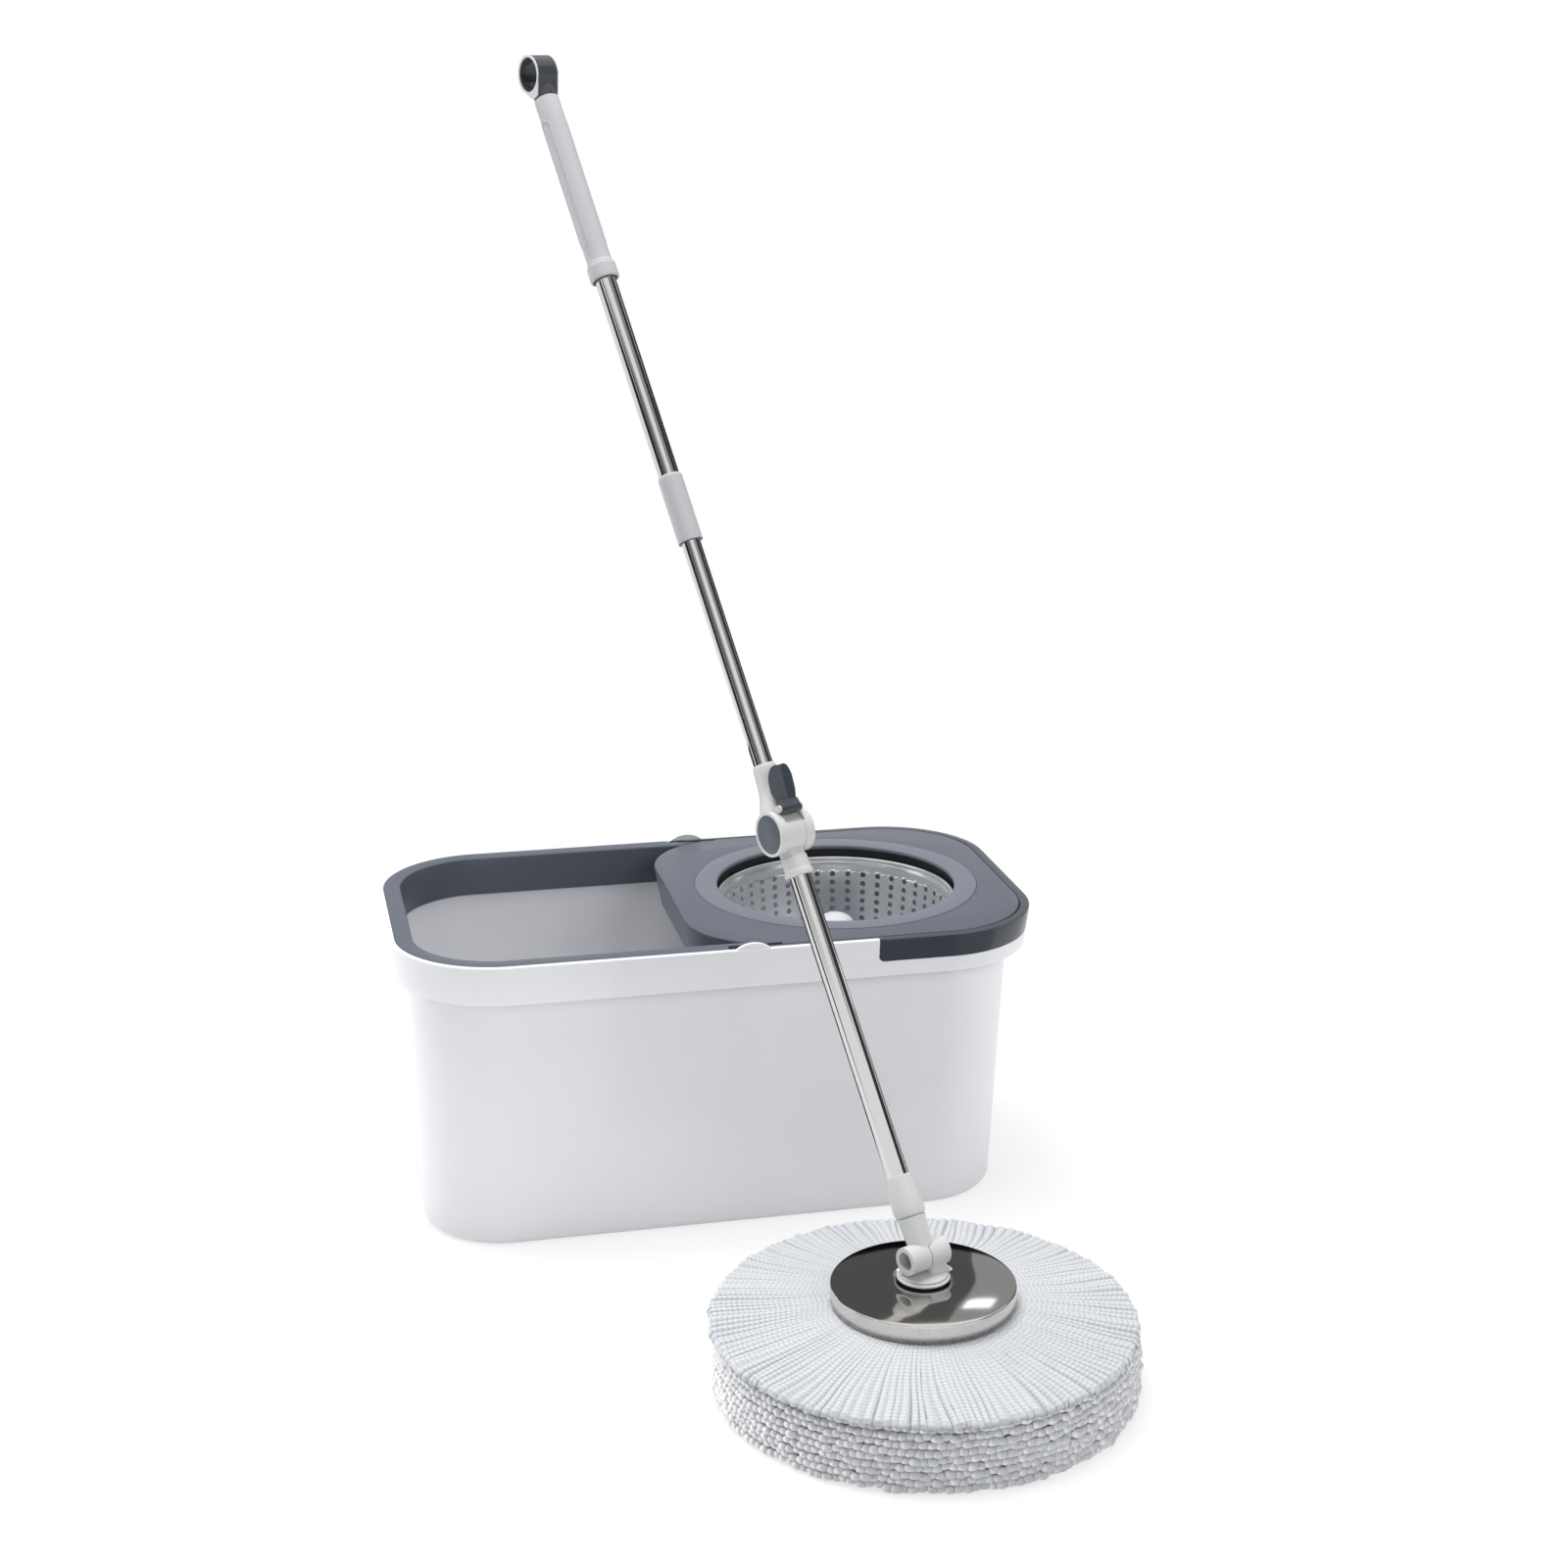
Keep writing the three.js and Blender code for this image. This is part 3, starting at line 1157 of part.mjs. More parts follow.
// ---- Telescope and press drive ---------------------------------------------------------
const lockSleeveBottom = upperSleeveTop + TELESCOPE_STROKE + STROKE_SPARE;
const upperTubeBottom = lockSleeveBottom + 3.5;
const upperTubeTop = upperTubeBottom + UPPER_TUBE_LENGTH;
const middleTubeTop = lockSleeveBottom + MIDDLE_TUBE_OVERLAP;
const gripTop = upperTubeTop + TUBE_END_COVER;
const gripBottom = gripTop - GRIP_LENGTH;
const middleBore = MIDDLE_TUBE_RADIUS - TUBE_WALL;
const housingTop = middleTubeTop - 3;
const housingBottom = housingTop - HOUSING_LENGTH;
const nutBottom = housingBottom + HOUSING_END + GAP;
const rodBottom = housingBottom - ROD_REACH;

function nutHousing() {
  const outer = middleBore - GAP;
  const throat = ROD_WIDTH / 2 + 0.7;
  const cavity = NUT_RADIUS + GAP;
  return turned([
    [throat, housingBottom],
    [outer, housingBottom],
    [outer, housingTop],
    [throat, housingTop],
    [throat, housingTop - HOUSING_END],
    [cavity, housingTop - HOUSING_END],
    [cavity, housingBottom + HOUSING_END],
    [throat, housingBottom + HOUSING_END],
  ], SMALL);
}

// A flat strip twisted about Z, one turn in every lead.
function twistedStrip(width, thickness, bottom, top) {
  const stepLength = 4.5;
  const steps = Math.ceil((top - bottom) / stepLength);
  const rings = [];
  for (let i = 0; i <= steps; i++) {
    const z = bottom + ((top - bottom) * i) / steps;
    const turn = (2 * Math.PI * z) / ROD_LEAD;
    const corners = [[1, 1], [0, 1], [-1, 1], [-1, -1], [0, -1], [1, -1]];
    rings.push(corners.map(([u, v]) => {
      const point = new THREE.Vector3((u * width) / 2, (v * thickness) / 2, z);
      return point.applyAxisAngle(new THREE.Vector3(0, 0, 1), turn);
    }));
  }
  return lofted(rings);
}

function driveNut() {
  const top = nutBottom + NUT_LENGTH;
  const body = turned([[0, nutBottom], [NUT_RADIUS, nutBottom], [NUT_RADIUS, top], [0, top]], SMALL);
  const clear = 2 * NUT_CLEARANCE;
  const slot = twistedStrip(ROD_WIDTH + clear, ROD_THICKNESS + clear, nutBottom - 1, top + 1);
  return carve([body], [slot]);
}

const rodTop = upperTubeTop - PLUG_LENGTH / 2;

function rodPlug() {
  const outer = tubeBore - GAP;
  const socket = ROD_WIDTH / 2 + 0.6;
  const bottom = upperTubeTop - 2 - PLUG_LENGTH;
  return turned([
    [0, rodTop + GAP],
    [socket, rodTop + GAP],
    [socket, bottom],
    [outer, bottom],
    [outer, upperTubeTop - 2],
    [0, upperTubeTop - 2],
  ], SMALL);
}

function lockSleeve() {
  const top = lockSleeveBottom + LOCK_SLEEVE_LENGTH;
  const outer = tubeSocket + SLEEVE_WALL - 0.2;
  return turned([
    [tubeSocket, lockSleeveBottom],
    [outer - 0.3, lockSleeveBottom],
    [outer, lockSleeveBottom + 0.6],
    [outer, top - 2.4],
    [outer - 0.4, top - 0.8],
    [tubeSocket + 0.3, top],
    [tubeSocket, top],
  ]);
}

function guideBush() {
  const inner = MIDDLE_TUBE_RADIUS + GAP;
  const bottom = lockSleeveBottom + 0.7;
  const top = upperTubeBottom - GAP;
  const outer = tubeSocket - GAP;
  return turned([[inner, bottom], [outer, bottom], [outer, top], [inner, top]]);
}

piece(pole, 'middle_tube', tube(MIDDLE_TUBE_RADIUS, forkTop + 3 + GAP, middleTubeTop), STEEL);
piece(pole, 'nut_housing', nutHousing(), DARK_PLASTIC);
piece(pole, 'drive_nut', driveNut(), DARK_STEEL);
piece(pole, 'upper_tube', tube(TUBE_RADIUS, upperTubeBottom, upperTubeTop), STEEL);
piece(pole, 'lock_sleeve', lockSleeve(), JOINT_PLASTIC);
piece(pole, 'guide_bush', guideBush(), DARK_PLASTIC);
piece(pole, 'rod_plug', rodPlug(), DARK_PLASTIC);
piece(pole, 'spiral_rod', twistedStrip(ROD_WIDTH, ROD_THICKNESS, rodBottom, rodTop), DARK_STEEL);

// ---- Grip and hanging loop -------------------------------------------------------------
function grip() {
  const inner = tubeSocket;
  const collarTop = gripBottom + GRIP_COLLAR_HEIGHT;
  const body = turned([
    [inner, gripBottom],
    [GRIP_COLLAR_RADIUS - 0.8, gripBottom],
    [GRIP_COLLAR_RADIUS, gripBottom + 1],
    [GRIP_COLLAR_RADIUS - 0.2, gripBottom + 7],
    [GRIP_RADIUS + 0.4, collarTop - 2],
    [GRIP_RADIUS, collarTop + 1],
    [GRIP_RADIUS, gripTop - 1],
    [GRIP_RADIUS - 0.7, gripTop],
    [inner, gripTop],
  ]);
  const removed = [];
  const middle = collarTop + 13 + PAD_LENGTH / 2;
  for (const side of [-1, 1]) {
    const pad = new THREE.Shape();
    const half = PAD_LENGTH / 2 - PAD_WIDTH / 2;
    pad.absarc(0, half, PAD_WIDTH / 2, 0, Math.PI, false);
    pad.absarc(0, -half, PAD_WIDTH / 2, Math.PI, 2 * Math.PI, false);
    const cutter = new THREE.ExtrudeGeometry(pad, { depth: 5, bevelEnabled: false, curveSegments: 8 });
    cutter.rotateX(Math.PI / 2).rotateZ(Math.PI / 2);
    const face = GRIP_RADIUS - PAD_DEPTH;
    const shift = side > 0 ? face : -face - 5;
    removed.push(cutter.translate(shift, 0, middle));
  }
  return carve([body], removed);
}

function hangLoop() {
  const centre = gripTop + LOOP_RADIUS + GAP + 6.5;
  const half = LOOP_WIDTH / 2;
  const neckRadius = GRIP_RADIUS - 0.6;
  const neck = turned([
    [0, upperTubeTop + GAP],
    [tubeSocket - GAP, upperTubeTop + GAP],
    [tubeSocket - GAP, gripTop + GAP],
    [neckRadius, gripTop + GAP],
    [neckRadius, gripTop + 6],
    [neckRadius - 1, centre - LOOP_RADIUS + 5],
    [0, centre - LOOP_RADIUS + 5],
  ]);
  const outside = crossRod(-half, half, LOOP_RADIUS, 0, centre, ROUND);
  const inside = crossRod(-half - 1, half + 1, LOOP_RADIUS - LOOP_WALL, 0, centre, ROUND);
  return carve([neck, outside], [inside]);
}

piece(pole, 'grip', grip(), WHITE_PLASTIC);
piece(pole, 'hang_loop', hangLoop(), DARK_PLASTIC);

export default scene;
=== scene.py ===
from math import copysign, cos, exp, hypot, pi, radians, sin

import bmesh
import bpy
from mathutils import Matrix, Vector


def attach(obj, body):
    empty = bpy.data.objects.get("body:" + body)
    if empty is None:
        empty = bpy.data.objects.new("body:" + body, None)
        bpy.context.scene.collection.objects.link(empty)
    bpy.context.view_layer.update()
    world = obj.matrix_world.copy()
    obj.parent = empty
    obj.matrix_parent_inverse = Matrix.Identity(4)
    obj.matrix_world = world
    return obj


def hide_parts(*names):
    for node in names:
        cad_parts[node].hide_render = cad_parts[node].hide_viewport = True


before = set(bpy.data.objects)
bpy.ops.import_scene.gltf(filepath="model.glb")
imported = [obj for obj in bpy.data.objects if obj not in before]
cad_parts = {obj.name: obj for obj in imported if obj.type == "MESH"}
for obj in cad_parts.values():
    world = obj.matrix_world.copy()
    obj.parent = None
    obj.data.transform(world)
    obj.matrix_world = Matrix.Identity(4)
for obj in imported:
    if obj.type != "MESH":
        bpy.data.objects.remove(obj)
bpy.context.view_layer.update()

# ---- Studio ------------------------------------------------------------------------------
# A pale floor in a white room under four large soft lamps. Plain cards that only mirrors
# see stand round the object, so that the polished steel has light and dark to reflect.
scene = bpy.context.scene
scene.view_settings.view_transform = "Standard"


def facing(at, aim):
    """The turn that points a thing at one place towards another."""
    return (Vector(aim) - Vector(at)).to_track_quat("-Z", "Y").to_euler()


CAMERA_AT = (-0.3811, -2.0285, 0.9504)
CAMERA_AIM = (0.0785, 0.0213, 0.3379)
CAMERA_LENS, CAMERA_SENSOR = 57.56, 36
camera = bpy.data.objects.new("camera", bpy.data.cameras.new("camera"))
camera.data.lens = CAMERA_LENS
camera.data.sensor_width = CAMERA_SENSOR
camera.location = CAMERA_AT
camera.rotation_euler = facing(CAMERA_AT, CAMERA_AIM)
scene.collection.objects.link(camera)
scene.camera = camera


def soft_lamp(name, at, aim, size, power):
    """A rectangular lamp at a place, turned towards another, that mirrors don't show."""
    light = bpy.data.lights.new(name, "AREA")
    light.shape = "RECTANGLE"
    light.size, light.size_y = size
    light.energy = power
    lamp = bpy.data.objects.new(name, light)
    lamp.location = at
    lamp.rotation_euler = facing(at, aim)
    lamp.visible_glossy = False
    scene.collection.objects.link(lamp)


soft_lamp("left_lamp", (-2.7, 1.9, 1.4), (-0.1, 0.0, 0.15), (2.0, 1.8), 56)
soft_lamp("front_lamp", (1.5, -2.8, 2.2), (0.1, -0.2, 0.2), (2.4, 2.0), 32)
soft_lamp("right_lamp", (3.2, -0.2, 1.3), (0.1, 0.0, 0.15), (2.0, 2.0), 10)
soft_lamp("top_lamp", (-0.3, 0.2, 2.9), (-0.1, -0.05, 0.0), (1.8, 1.8), 94)


def feed(tree, socket, value):
    """Gives an input a link from another socket, or a plain value."""
    value = getattr(value, "socket", value)
    if hasattr(value, "is_output"):
        tree.links.new(value, socket)
    else:
        socket.default_value = value


def added(tree, kind, values=None, **settings):
    """A new node: first its settings are made, and then its inputs are fed."""
    node = tree.nodes.new(kind)
    for name, value in settings.items():
        setattr(node, name, value)
    for key, value in (values or {}).items():
        feed(tree, node.inputs[key], value)
    return node


def white_to_the_eye(tree, seen, lit):
    """Shows one shader to the camera, glossy and transmission rays and another to the rest."""
    path = added(tree, "ShaderNodeLightPath")
    shown = path.outputs["Is Camera Ray"]
    for kind in ("Is Glossy Ray", "Is Transmission Ray"):
        either = added(tree, "ShaderNodeMath", {0: shown, 1: path.outputs[kind]}, operation="MAXIMUM")
        shown = either.outputs[0]
    mix = added(tree, "ShaderNodeMixShader", {0: shown, 1: lit.outputs[0], 2: seen.outputs[0]})
    return mix.outputs[0]


ROOM_LIGHT = 0.3
room = bpy.data.worlds.new("white_room")
scene.world = room
room.use_nodes = True
tree = room.node_tree
tree.nodes.clear()
seen = added(tree, "ShaderNodeBackground", {"Color": (1, 1, 1, 1), "Strength": 1.0})
lit = added(tree, "ShaderNodeBackground", {"Color": (0.96, 0.97, 1.0, 1), "Strength": ROOM_LIGHT})
added(tree, "ShaderNodeOutputWorld", {"Surface": white_to_the_eye(tree, seen, lit)})

FLOOR_REACH = 30.0
SHADOW_THINNED, SHADOW_NEAR, SHADOW_END = 0.72, 0.7, 1.9
bpy.ops.mesh.primitive_plane_add(size=2 * FLOOR_REACH)
floor = bpy.context.object
floor.name = "floor"
floor_paint = bpy.data.materials.new("pale_floor")
floor_paint.use_nodes = True
floor_paint.cycles.emission_sampling = "NONE"
tree = floor_paint.node_tree
shadowed = tree.nodes["Principled BSDF"]
shadowed.inputs["Base Color"].default_value = (0.95, 0.95, 0.95, 1)
shadowed.inputs["Roughness"].default_value = 0.9
shadowed.inputs["Specular IOR Level"].default_value = 0.0
white = white_to_the_eye(tree, added(tree, "ShaderNodeEmission"), shadowed)
# The shadow is thinned under the object, and fades out to plain white further off.
pale = added(tree, "ShaderNodeMixShader", {0: SHADOW_THINNED, 1: shadowed.outputs[0], 2: white})
place = added(tree, "ShaderNodeTexCoord")
distance = added(tree, "ShaderNodeVectorMath", {0: place.outputs["Object"]}, operation="LENGTH")
fade = added(tree, "ShaderNodeMapRange", {
    "Value": distance.outputs["Value"],
    "From Min": SHADOW_NEAR,
    "From Max": SHADOW_END,
})
blend = added(tree, "ShaderNodeMixShader", {0: fade.outputs["Result"], 1: pale.outputs[0], 2: white})
tree.links.new(blend.outputs[0], tree.nodes["Material Output"].inputs["Surface"])
floor.data.materials.append(floor_paint)


def mirror_card(name, azimuth, elevation, size, shade, distance=2.6, aim=(0.0, -0.1, 0.5)):
    """A plain card seen only in mirrors, some way off from a point at an angle from the X axis."""
    paint = bpy.data.materials.new(name)
    paint.use_nodes = True
    paint.cycles.emission_sampling = "NONE"
    tree = paint.node_tree
    tree.nodes.remove(tree.nodes["Principled BSDF"])
    even = added(tree, "ShaderNodeEmission", {"Color": (shade, shade, shade * 1.03, 1)})
    tree.links.new(even.outputs[0], tree.nodes["Material Output"].inputs["Surface"])
    bpy.ops.mesh.primitive_plane_add(size=1)
    card = bpy.context.object
    card.name = name
    card.scale = (size[0], size[1], 1)
    turn, up = radians(azimuth), radians(elevation)
    aim = Vector(aim)
    card.location = aim + distance * Vector((cos(turn) * cos(up), sin(turn) * cos(up), sin(up)))
    card.rotation_euler = facing(card.location, aim)
    card.visible_camera = False
    card.visible_diffuse = False
    card.visible_shadow = False
    card.visible_transmission = False
    card.data.materials.append(paint)


mirror_card("card_left", -172, 6, (1.3, 1.7), 0.03)
mirror_card("card_front_left", -146, 22, (0.9, 1.3), 0.14)
mirror_card("card_front", -127, 30, (0.8, 1.2), 0.38)
mirror_card("card_front_right", -48, 44, (1.3, 1.6), 0.36)
mirror_card("card_right", -12, 26, (2.2, 2.6), 0.05)
mirror_card("card_far_right", 33, 10, (1.5, 2.0), 0.02)
mirror_card("card_behind", 80, 22, (3.0, 2.2), 0.5, distance=2.8)
mirror_card("card_behind_left", 132, 22, (2.0, 1.7), 0.03)
mirror_card("card_above", 0, 88, (3.4, 3.4), 0.85, distance=3.3)
# Four small ones stand close behind the mop's head, for its steel cover.
mirror_card("cover_card", 90, 0, (0.3, 0.36), 0.1, 0.217, (0.055, -0.417, 0.25))
mirror_card("cover_card_low", 90, 0, (0.42, 0.06), 0.003, 0.21, (0.12, -0.417, 0.09))
mirror_card("cover_card_right", 90, 0, (0.15, 0.36), 0.34, 0.215, (0.28, -0.417, 0.25))
mirror_card("cover_card_bright", 90, 0, (0.055, 0.045), 2.0, 0.2, (0.235, -0.417, 0.289))

# ---- Bucket shell ------------------------------------------------------------------------
# One moulding in white polypropylene: a rounded body with a little draft, and round its top
# a groove for the frame and the handle, closed outside by a deep skirt with a narrow lip.
MM = 0.001
RIM_LENGTH, RIM_WIDTH, RIM_CORNER = 546.0, 308.0, 90.0
HEIGHT = 252.0
WALL, FLOOR_THICK = 3.0, 3.5
LIP, SKIRT_DEPTH, SKIRT_DRAFT = 4.3, 34.0, 4.0
BODY_INSET, BODY_DRAFT, FOOT_ROUND = 14.0, 5.0, 8.0
# How much further in the body's right end comes, below the groove and at the foot.
RIGHT_TOP, RIGHT_FOOT = 5.0, 12.0
GROOVE_FLOOR = HEIGHT - 18.0
NOTCH_X, NOTCH_FLOOR, NOTCH_ROUND = 120.0, HEIGHT - 20.0, 5.0
PIVOT_X, EAR_RADIUS, EAR_DROP = 14.5, 23, 18.3
CORNER_STEPS = 20
BEYOND = 600.0
EVERYWHERE = (-BEYOND, BEYOND)
SMOOTH_BELOW = radians(34)


def rgb(red, green, blue):
    """A screen colour from 0 to 255 as the linear colour that a shader takes."""
    def linear(v):
        v /= 255
        return v / 12.92 if v <= 0.04045 else ((v + 0.055) / 1.055) ** 2.4
    return (linear(red), linear(green), linear(blue), 1.0)


def new_material(name):
    """A material with its node tree, its shader and its coordinates in the object."""
    material = bpy.data.materials.new(name)
    material.use_nodes = True
    tree = material.node_tree
    place = added(tree, "ShaderNodeTexCoord").outputs["Object"]
    return material, tree, tree.nodes["Principled BSDF"], place


def noise(tree, place, scale, detail):
    """Smooth noise from 0 to 1."""
    values = {"Vector": place, "Scale": scale, "Detail": detail}
    return added(tree, "ShaderNodeTexNoise", values).outputs["Fac"]


def varied(tree, shader, amount, colour, darker, roughness, spread):
    """Lets a noise move a shader's colour and its gloss a little."""
    dark = tuple(c * (1 - darker) for c in colour[:3]) + (1.0,)
    colours = added(tree, "ShaderNodeMix", {"Factor": amount, "A": dark, "B": colour}, data_type="RGBA")
    feed(tree, shader.inputs["Base Color"], colours.outputs["Result"])
    gloss = added(tree, "ShaderNodeMapRange", {
        "Value": amount,
        "To Min": max(roughness - spread, 0.02),
        "To Max": roughness + spread,
    })
    feed(tree, shader.inputs["Roughness"], gloss.outputs["Result"])


def bumped(tree, shader, height, strength, distance):
    """Gives a shader's surface a fine relief."""
    bump = added(tree, "ShaderNodeBump", {"Height": height, "Strength": strength, "Distance": distance})
    feed(tree, shader.inputs["Normal"], bump.outputs["Normal"])


def plastic(name, colour, roughness, grain, drift):
    """A moulded plastic: a fine grain, and a slow drift in its colour and its gloss."""
    material, tree, shader, place = new_material(name)
    shader.inputs["IOR"].default_value = 1.5
    slow = noise(tree, place, scale=9.0, detail=3.0)
    fine = noise(tree, place, scale=1800.0, detail=2.0)
    varied(tree, shader, slow, colour, darker=drift, roughness=roughness, spread=0.04)
    bumped(tree, shader, fine, strength=grain, distance=0.0004)
    return material


def new_piece(name, points, faces):
    """A mesh object from points in millimetres."""
    mesh = bpy.data.meshes.new(name)
    mesh.from_pydata([tuple(Vector(p) * MM) for p in points], [], faces)
    mesh.validate()
    piece = bpy.data.objects.new(name, mesh)
    scene.collection.objects.link(piece)
    return piece


def tidy(piece):
    """Merges doubles and turns all faces out."""
    work = bmesh.new()
    work.from_mesh(piece.data)
    bmesh.ops.remove_doubles(work, verts=work.verts, dist=1e-6)
    bmesh.ops.dissolve_degenerate(work, edges=work.edges, dist=1e-7)
    bmesh.ops.recalc_face_normals(work, faces=work.faces)
    work.to_mesh(piece.data)
    work.free()
    return piece


def lofted(name, rings, looped=False):
    """A skin over equal rings of points, closed by flat caps unless it is looped."""
    count = len(rings[0])
    points = [p for ring in rings for p in ring]
    faces = []
    for i in range(len(rings) if looped else len(rings) - 1):
        low, high = i * count, ((i + 1) % len(rings)) * count
        for j in range(count):
            k = (j + 1) % count
            faces.append((low + j, low + k, high + k, high + j))
    if not looped:
        faces.append(tuple(reversed(range(count))))
        faces.append(tuple((len(rings) - 1) * count + j for j in range(count)))
    return tidy(new_piece(name, points, faces))


def plan(right, left, z):
    """A closed outline with rounded corners, the same at front and back. Its right and left
    corners are given as (centre x, centre y, radius). A point just outside each end of an
    arc keeps the straight sides truly flat."""
    ring = []
    for corner, way, start in ((right, 1, 0), (left, 1, 90), (left, -1, 180), (right, -1, 270)):
        x, y, radius = corner[0], way * corner[1], corner[2]
        for i in range(-1, CORNER_STEPS + 2):
            angle = radians(start + 90 * min(max(i, 0), CORNER_STEPS) / CORNER_STEPS)
            past = -1.0 if i < 0 else 1.0 if i > CORNER_STEPS else 0.0
            c, s = cos(angle), sin(angle)
            ring.append((x + radius * c - past * s, y + radius * s + past * c, z))
    return ring


def rim_plan(inset, z, drawn_in=0.0):
    """The bucket's outline at a height, moved in from its rim, and more so at its right end."""
    radius = RIM_CORNER - inset
    x, y = RIM_LENGTH / 2 - RIM_CORNER, RIM_WIDTH / 2 - RIM_CORNER
    return plan((x - drawn_in, y, radius), (-x, y, radius), z)


def rim_loft(name, profile, looped=True):
    """A skin over a profile of rim_plan's values, round the whole bucket."""
    return lofted(name, [rim_plan(*place) for place in profile], looped)


def block(name, x=EVERYWHERE, y=EVERYWHERE, z=(0, BEYOND)):
    """A plain box to cut with."""
    points = [(a, b, c) for a in x for b in y for c in z]
    faces = [(0, 1, 3, 2), (4, 6, 7, 5), (0, 4, 5, 1), (2, 3, 7, 6), (0, 2, 6, 4), (1, 5, 7, 3)]
    return tidy(new_piece(name, points, faces))


def across(outline):
    """An outline of (x, z) points drawn out far along Y."""
    points = [(x, y, z) for y in EVERYWHERE for x, z in outline]
    n = len(outline)
    faces = [tuple(range(n)), tuple(reversed(range(n, 2 * n)))]
    faces += [(i, (i + 1) % n, (i + 1) % n + n, i + n) for i in range(n)]
    return tidy(new_piece("side", points, faces))


def rod(name, start, end, radius, sides=48):
    """A round bar between two points."""
    start, end = Vector(start), Vector(end)
    along = (end - start).normalized()
    side = along.orthogonal().normalized()
    other = along.cross(side)
    angles = [2 * pi * i / sides for i in range(sides)]
    rings = []
    for place in (start, end):
        rings.append([place + (side * cos(a) + other * sin(a)) * radius for a in angles])
    return lofted(name, rings)


def applied(piece):
    """Turns what a piece's modifiers make into its own plain mesh."""
    bpy.context.view_layer.update()
    made = piece.evaluated_get(bpy.context.evaluated_depsgraph_get())
    plain = bpy.data.meshes.new_from_object(made)
    piece.modifiers.clear()
    piece.data = plain
    return piece


def combine(piece, tool, how="DIFFERENCE"):
    """Cuts, joins or keeps the common part, and removes the tool."""
    step = piece.modifiers.new("step", "BOOLEAN")
    step.operation = how
    step.object = tool
    step.solver = "EXACT"
    applied(piece)
    bpy.data.objects.remove(tool)
    return piece


def finished(piece, material, body, stands_for, edge=0.5, segments=2):
    """Rounds a piece's edges a little, gives it its material and puts it on its body."""
    piece.data.materials.clear()
    piece.data.materials.append(material)
    piece.data.shade_smooth()
    piece.data.set_sharp_from_angle(angle=SMOOTH_BELOW)
    if edge:
        rounding = piece.modifiers.new("edge", "BEVEL")
        rounding.width = edge * MM
        rounding.segments = segments
        rounding.limit_method = "ANGLE"
        rounding.angle_limit = SMOOTH_BELOW
        rounding.use_clamp_overlap = True
        rounding.harden_normals = True
    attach(piece, body)
    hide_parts(stands_for)


def arc(cx, cz, radius, start, end, steps):
    """Points on an arc of a profile, in degrees."""
    angles = [radians(start + (end - start) * i / steps) for i in range(steps + 1)]
    return [(cx + radius * cos(a), cz + radius * sin(a)) for a in angles]


def skirt_inset(z):
    """How far in from the rim the skirt's outside lies."""
    return SKIRT_DRAFT * (HEIGHT - z) / SKIRT_DEPTH


def body_inset(z):
    """How far in from the rim the body's outside lies."""
    return BODY_INSET + BODY_DRAFT * (GROOVE_FLOOR - z) / GROOVE_FLOOR


def inner_inset(z):
    """How far in from the rim the body's inside lies."""
    return body_inset(z) + WALL


def foot_rounding(radius, base, inset_at):
    """The quarter round between a wall and the floor, from the floor up."""
    edge = inset_at(base + radius)
    angles = [pi / 16 * i for i in range(9)]
    return [(edge + radius * (1 - sin(a)), base + radius * (1 - cos(a)), RIGHT_FOOT) for a in angles]


def notch_outline(left, base):
    """The notch in the rim from the side, open to the right and to the top."""
    corner = arc(left + NOTCH_ROUND, base + NOTCH_ROUND, NOTCH_ROUND, 180, 270, 10)
    return corner + [(BEYOND, base), (BEYOND, HEIGHT + 20), (left, HEIGHT + 20)]


INNER_TOP = HEIGHT - 4.3
SKIRT_FOOT = HEIGHT - SKIRT_DEPTH
shell = rim_loft("bucket_shell_moulding", (
    *foot_rounding(FOOT_ROUND, 0, body_inset),
    (BODY_INSET + 0.2, GROOVE_FLOOR - WALL - 1.5, RIGHT_TOP),
    (BODY_INSET - 1.2, GROOVE_FLOOR - WALL),
    (skirt_inset(GROOVE_FLOOR) + WALL, GROOVE_FLOOR - WALL),
    (skirt_inset(SKIRT_FOOT) + WALL, SKIRT_FOOT),
    (skirt_inset(SKIRT_FOOT) + 1.2, SKIRT_FOOT),
    (skirt_inset(SKIRT_FOOT) + 0.35, SKIRT_FOOT + 0.4),
    (skirt_inset(SKIRT_FOOT), SKIRT_FOOT + 1.3),
    (0.15, HEIGHT - 1.6),
    (0.5, HEIGHT - 0.6),
    (1.4, HEIGHT),
    (LIP - 0.5, HEIGHT),
    (LIP, HEIGHT - 0.6),
    (LIP, GROOVE_FLOOR),
    (BODY_INSET, GROOVE_FLOOR),
    (BODY_INSET, INNER_TOP),
    (BODY_INSET + WALL, INNER_TOP),
    (BODY_INSET + WALL, GROOVE_FLOOR),
    (BODY_INSET + WALL + 0.1, GROOVE_FLOOR - WALL, RIGHT_TOP),
    *reversed(foot_rounding(FOOT_ROUND - WALL, FLOOR_THICK, inner_inset)),
), looped=False)
LEDGE_TOP = NOTCH_FLOOR - 0.3
LEDGE_FOOT = LEDGE_TOP - WALL
notch = rim_loft("notch", (
    (-1, LEDGE_TOP),
    (-1, HEIGHT + 5),
    (BODY_INSET - 0.1, HEIGHT + 5),
    (BODY_INSET - 0.1, LEDGE_TOP),
))
combine(notch, across(notch_outline(NOTCH_X, LEDGE_TOP)), "INTERSECT")
combine(shell, notch)
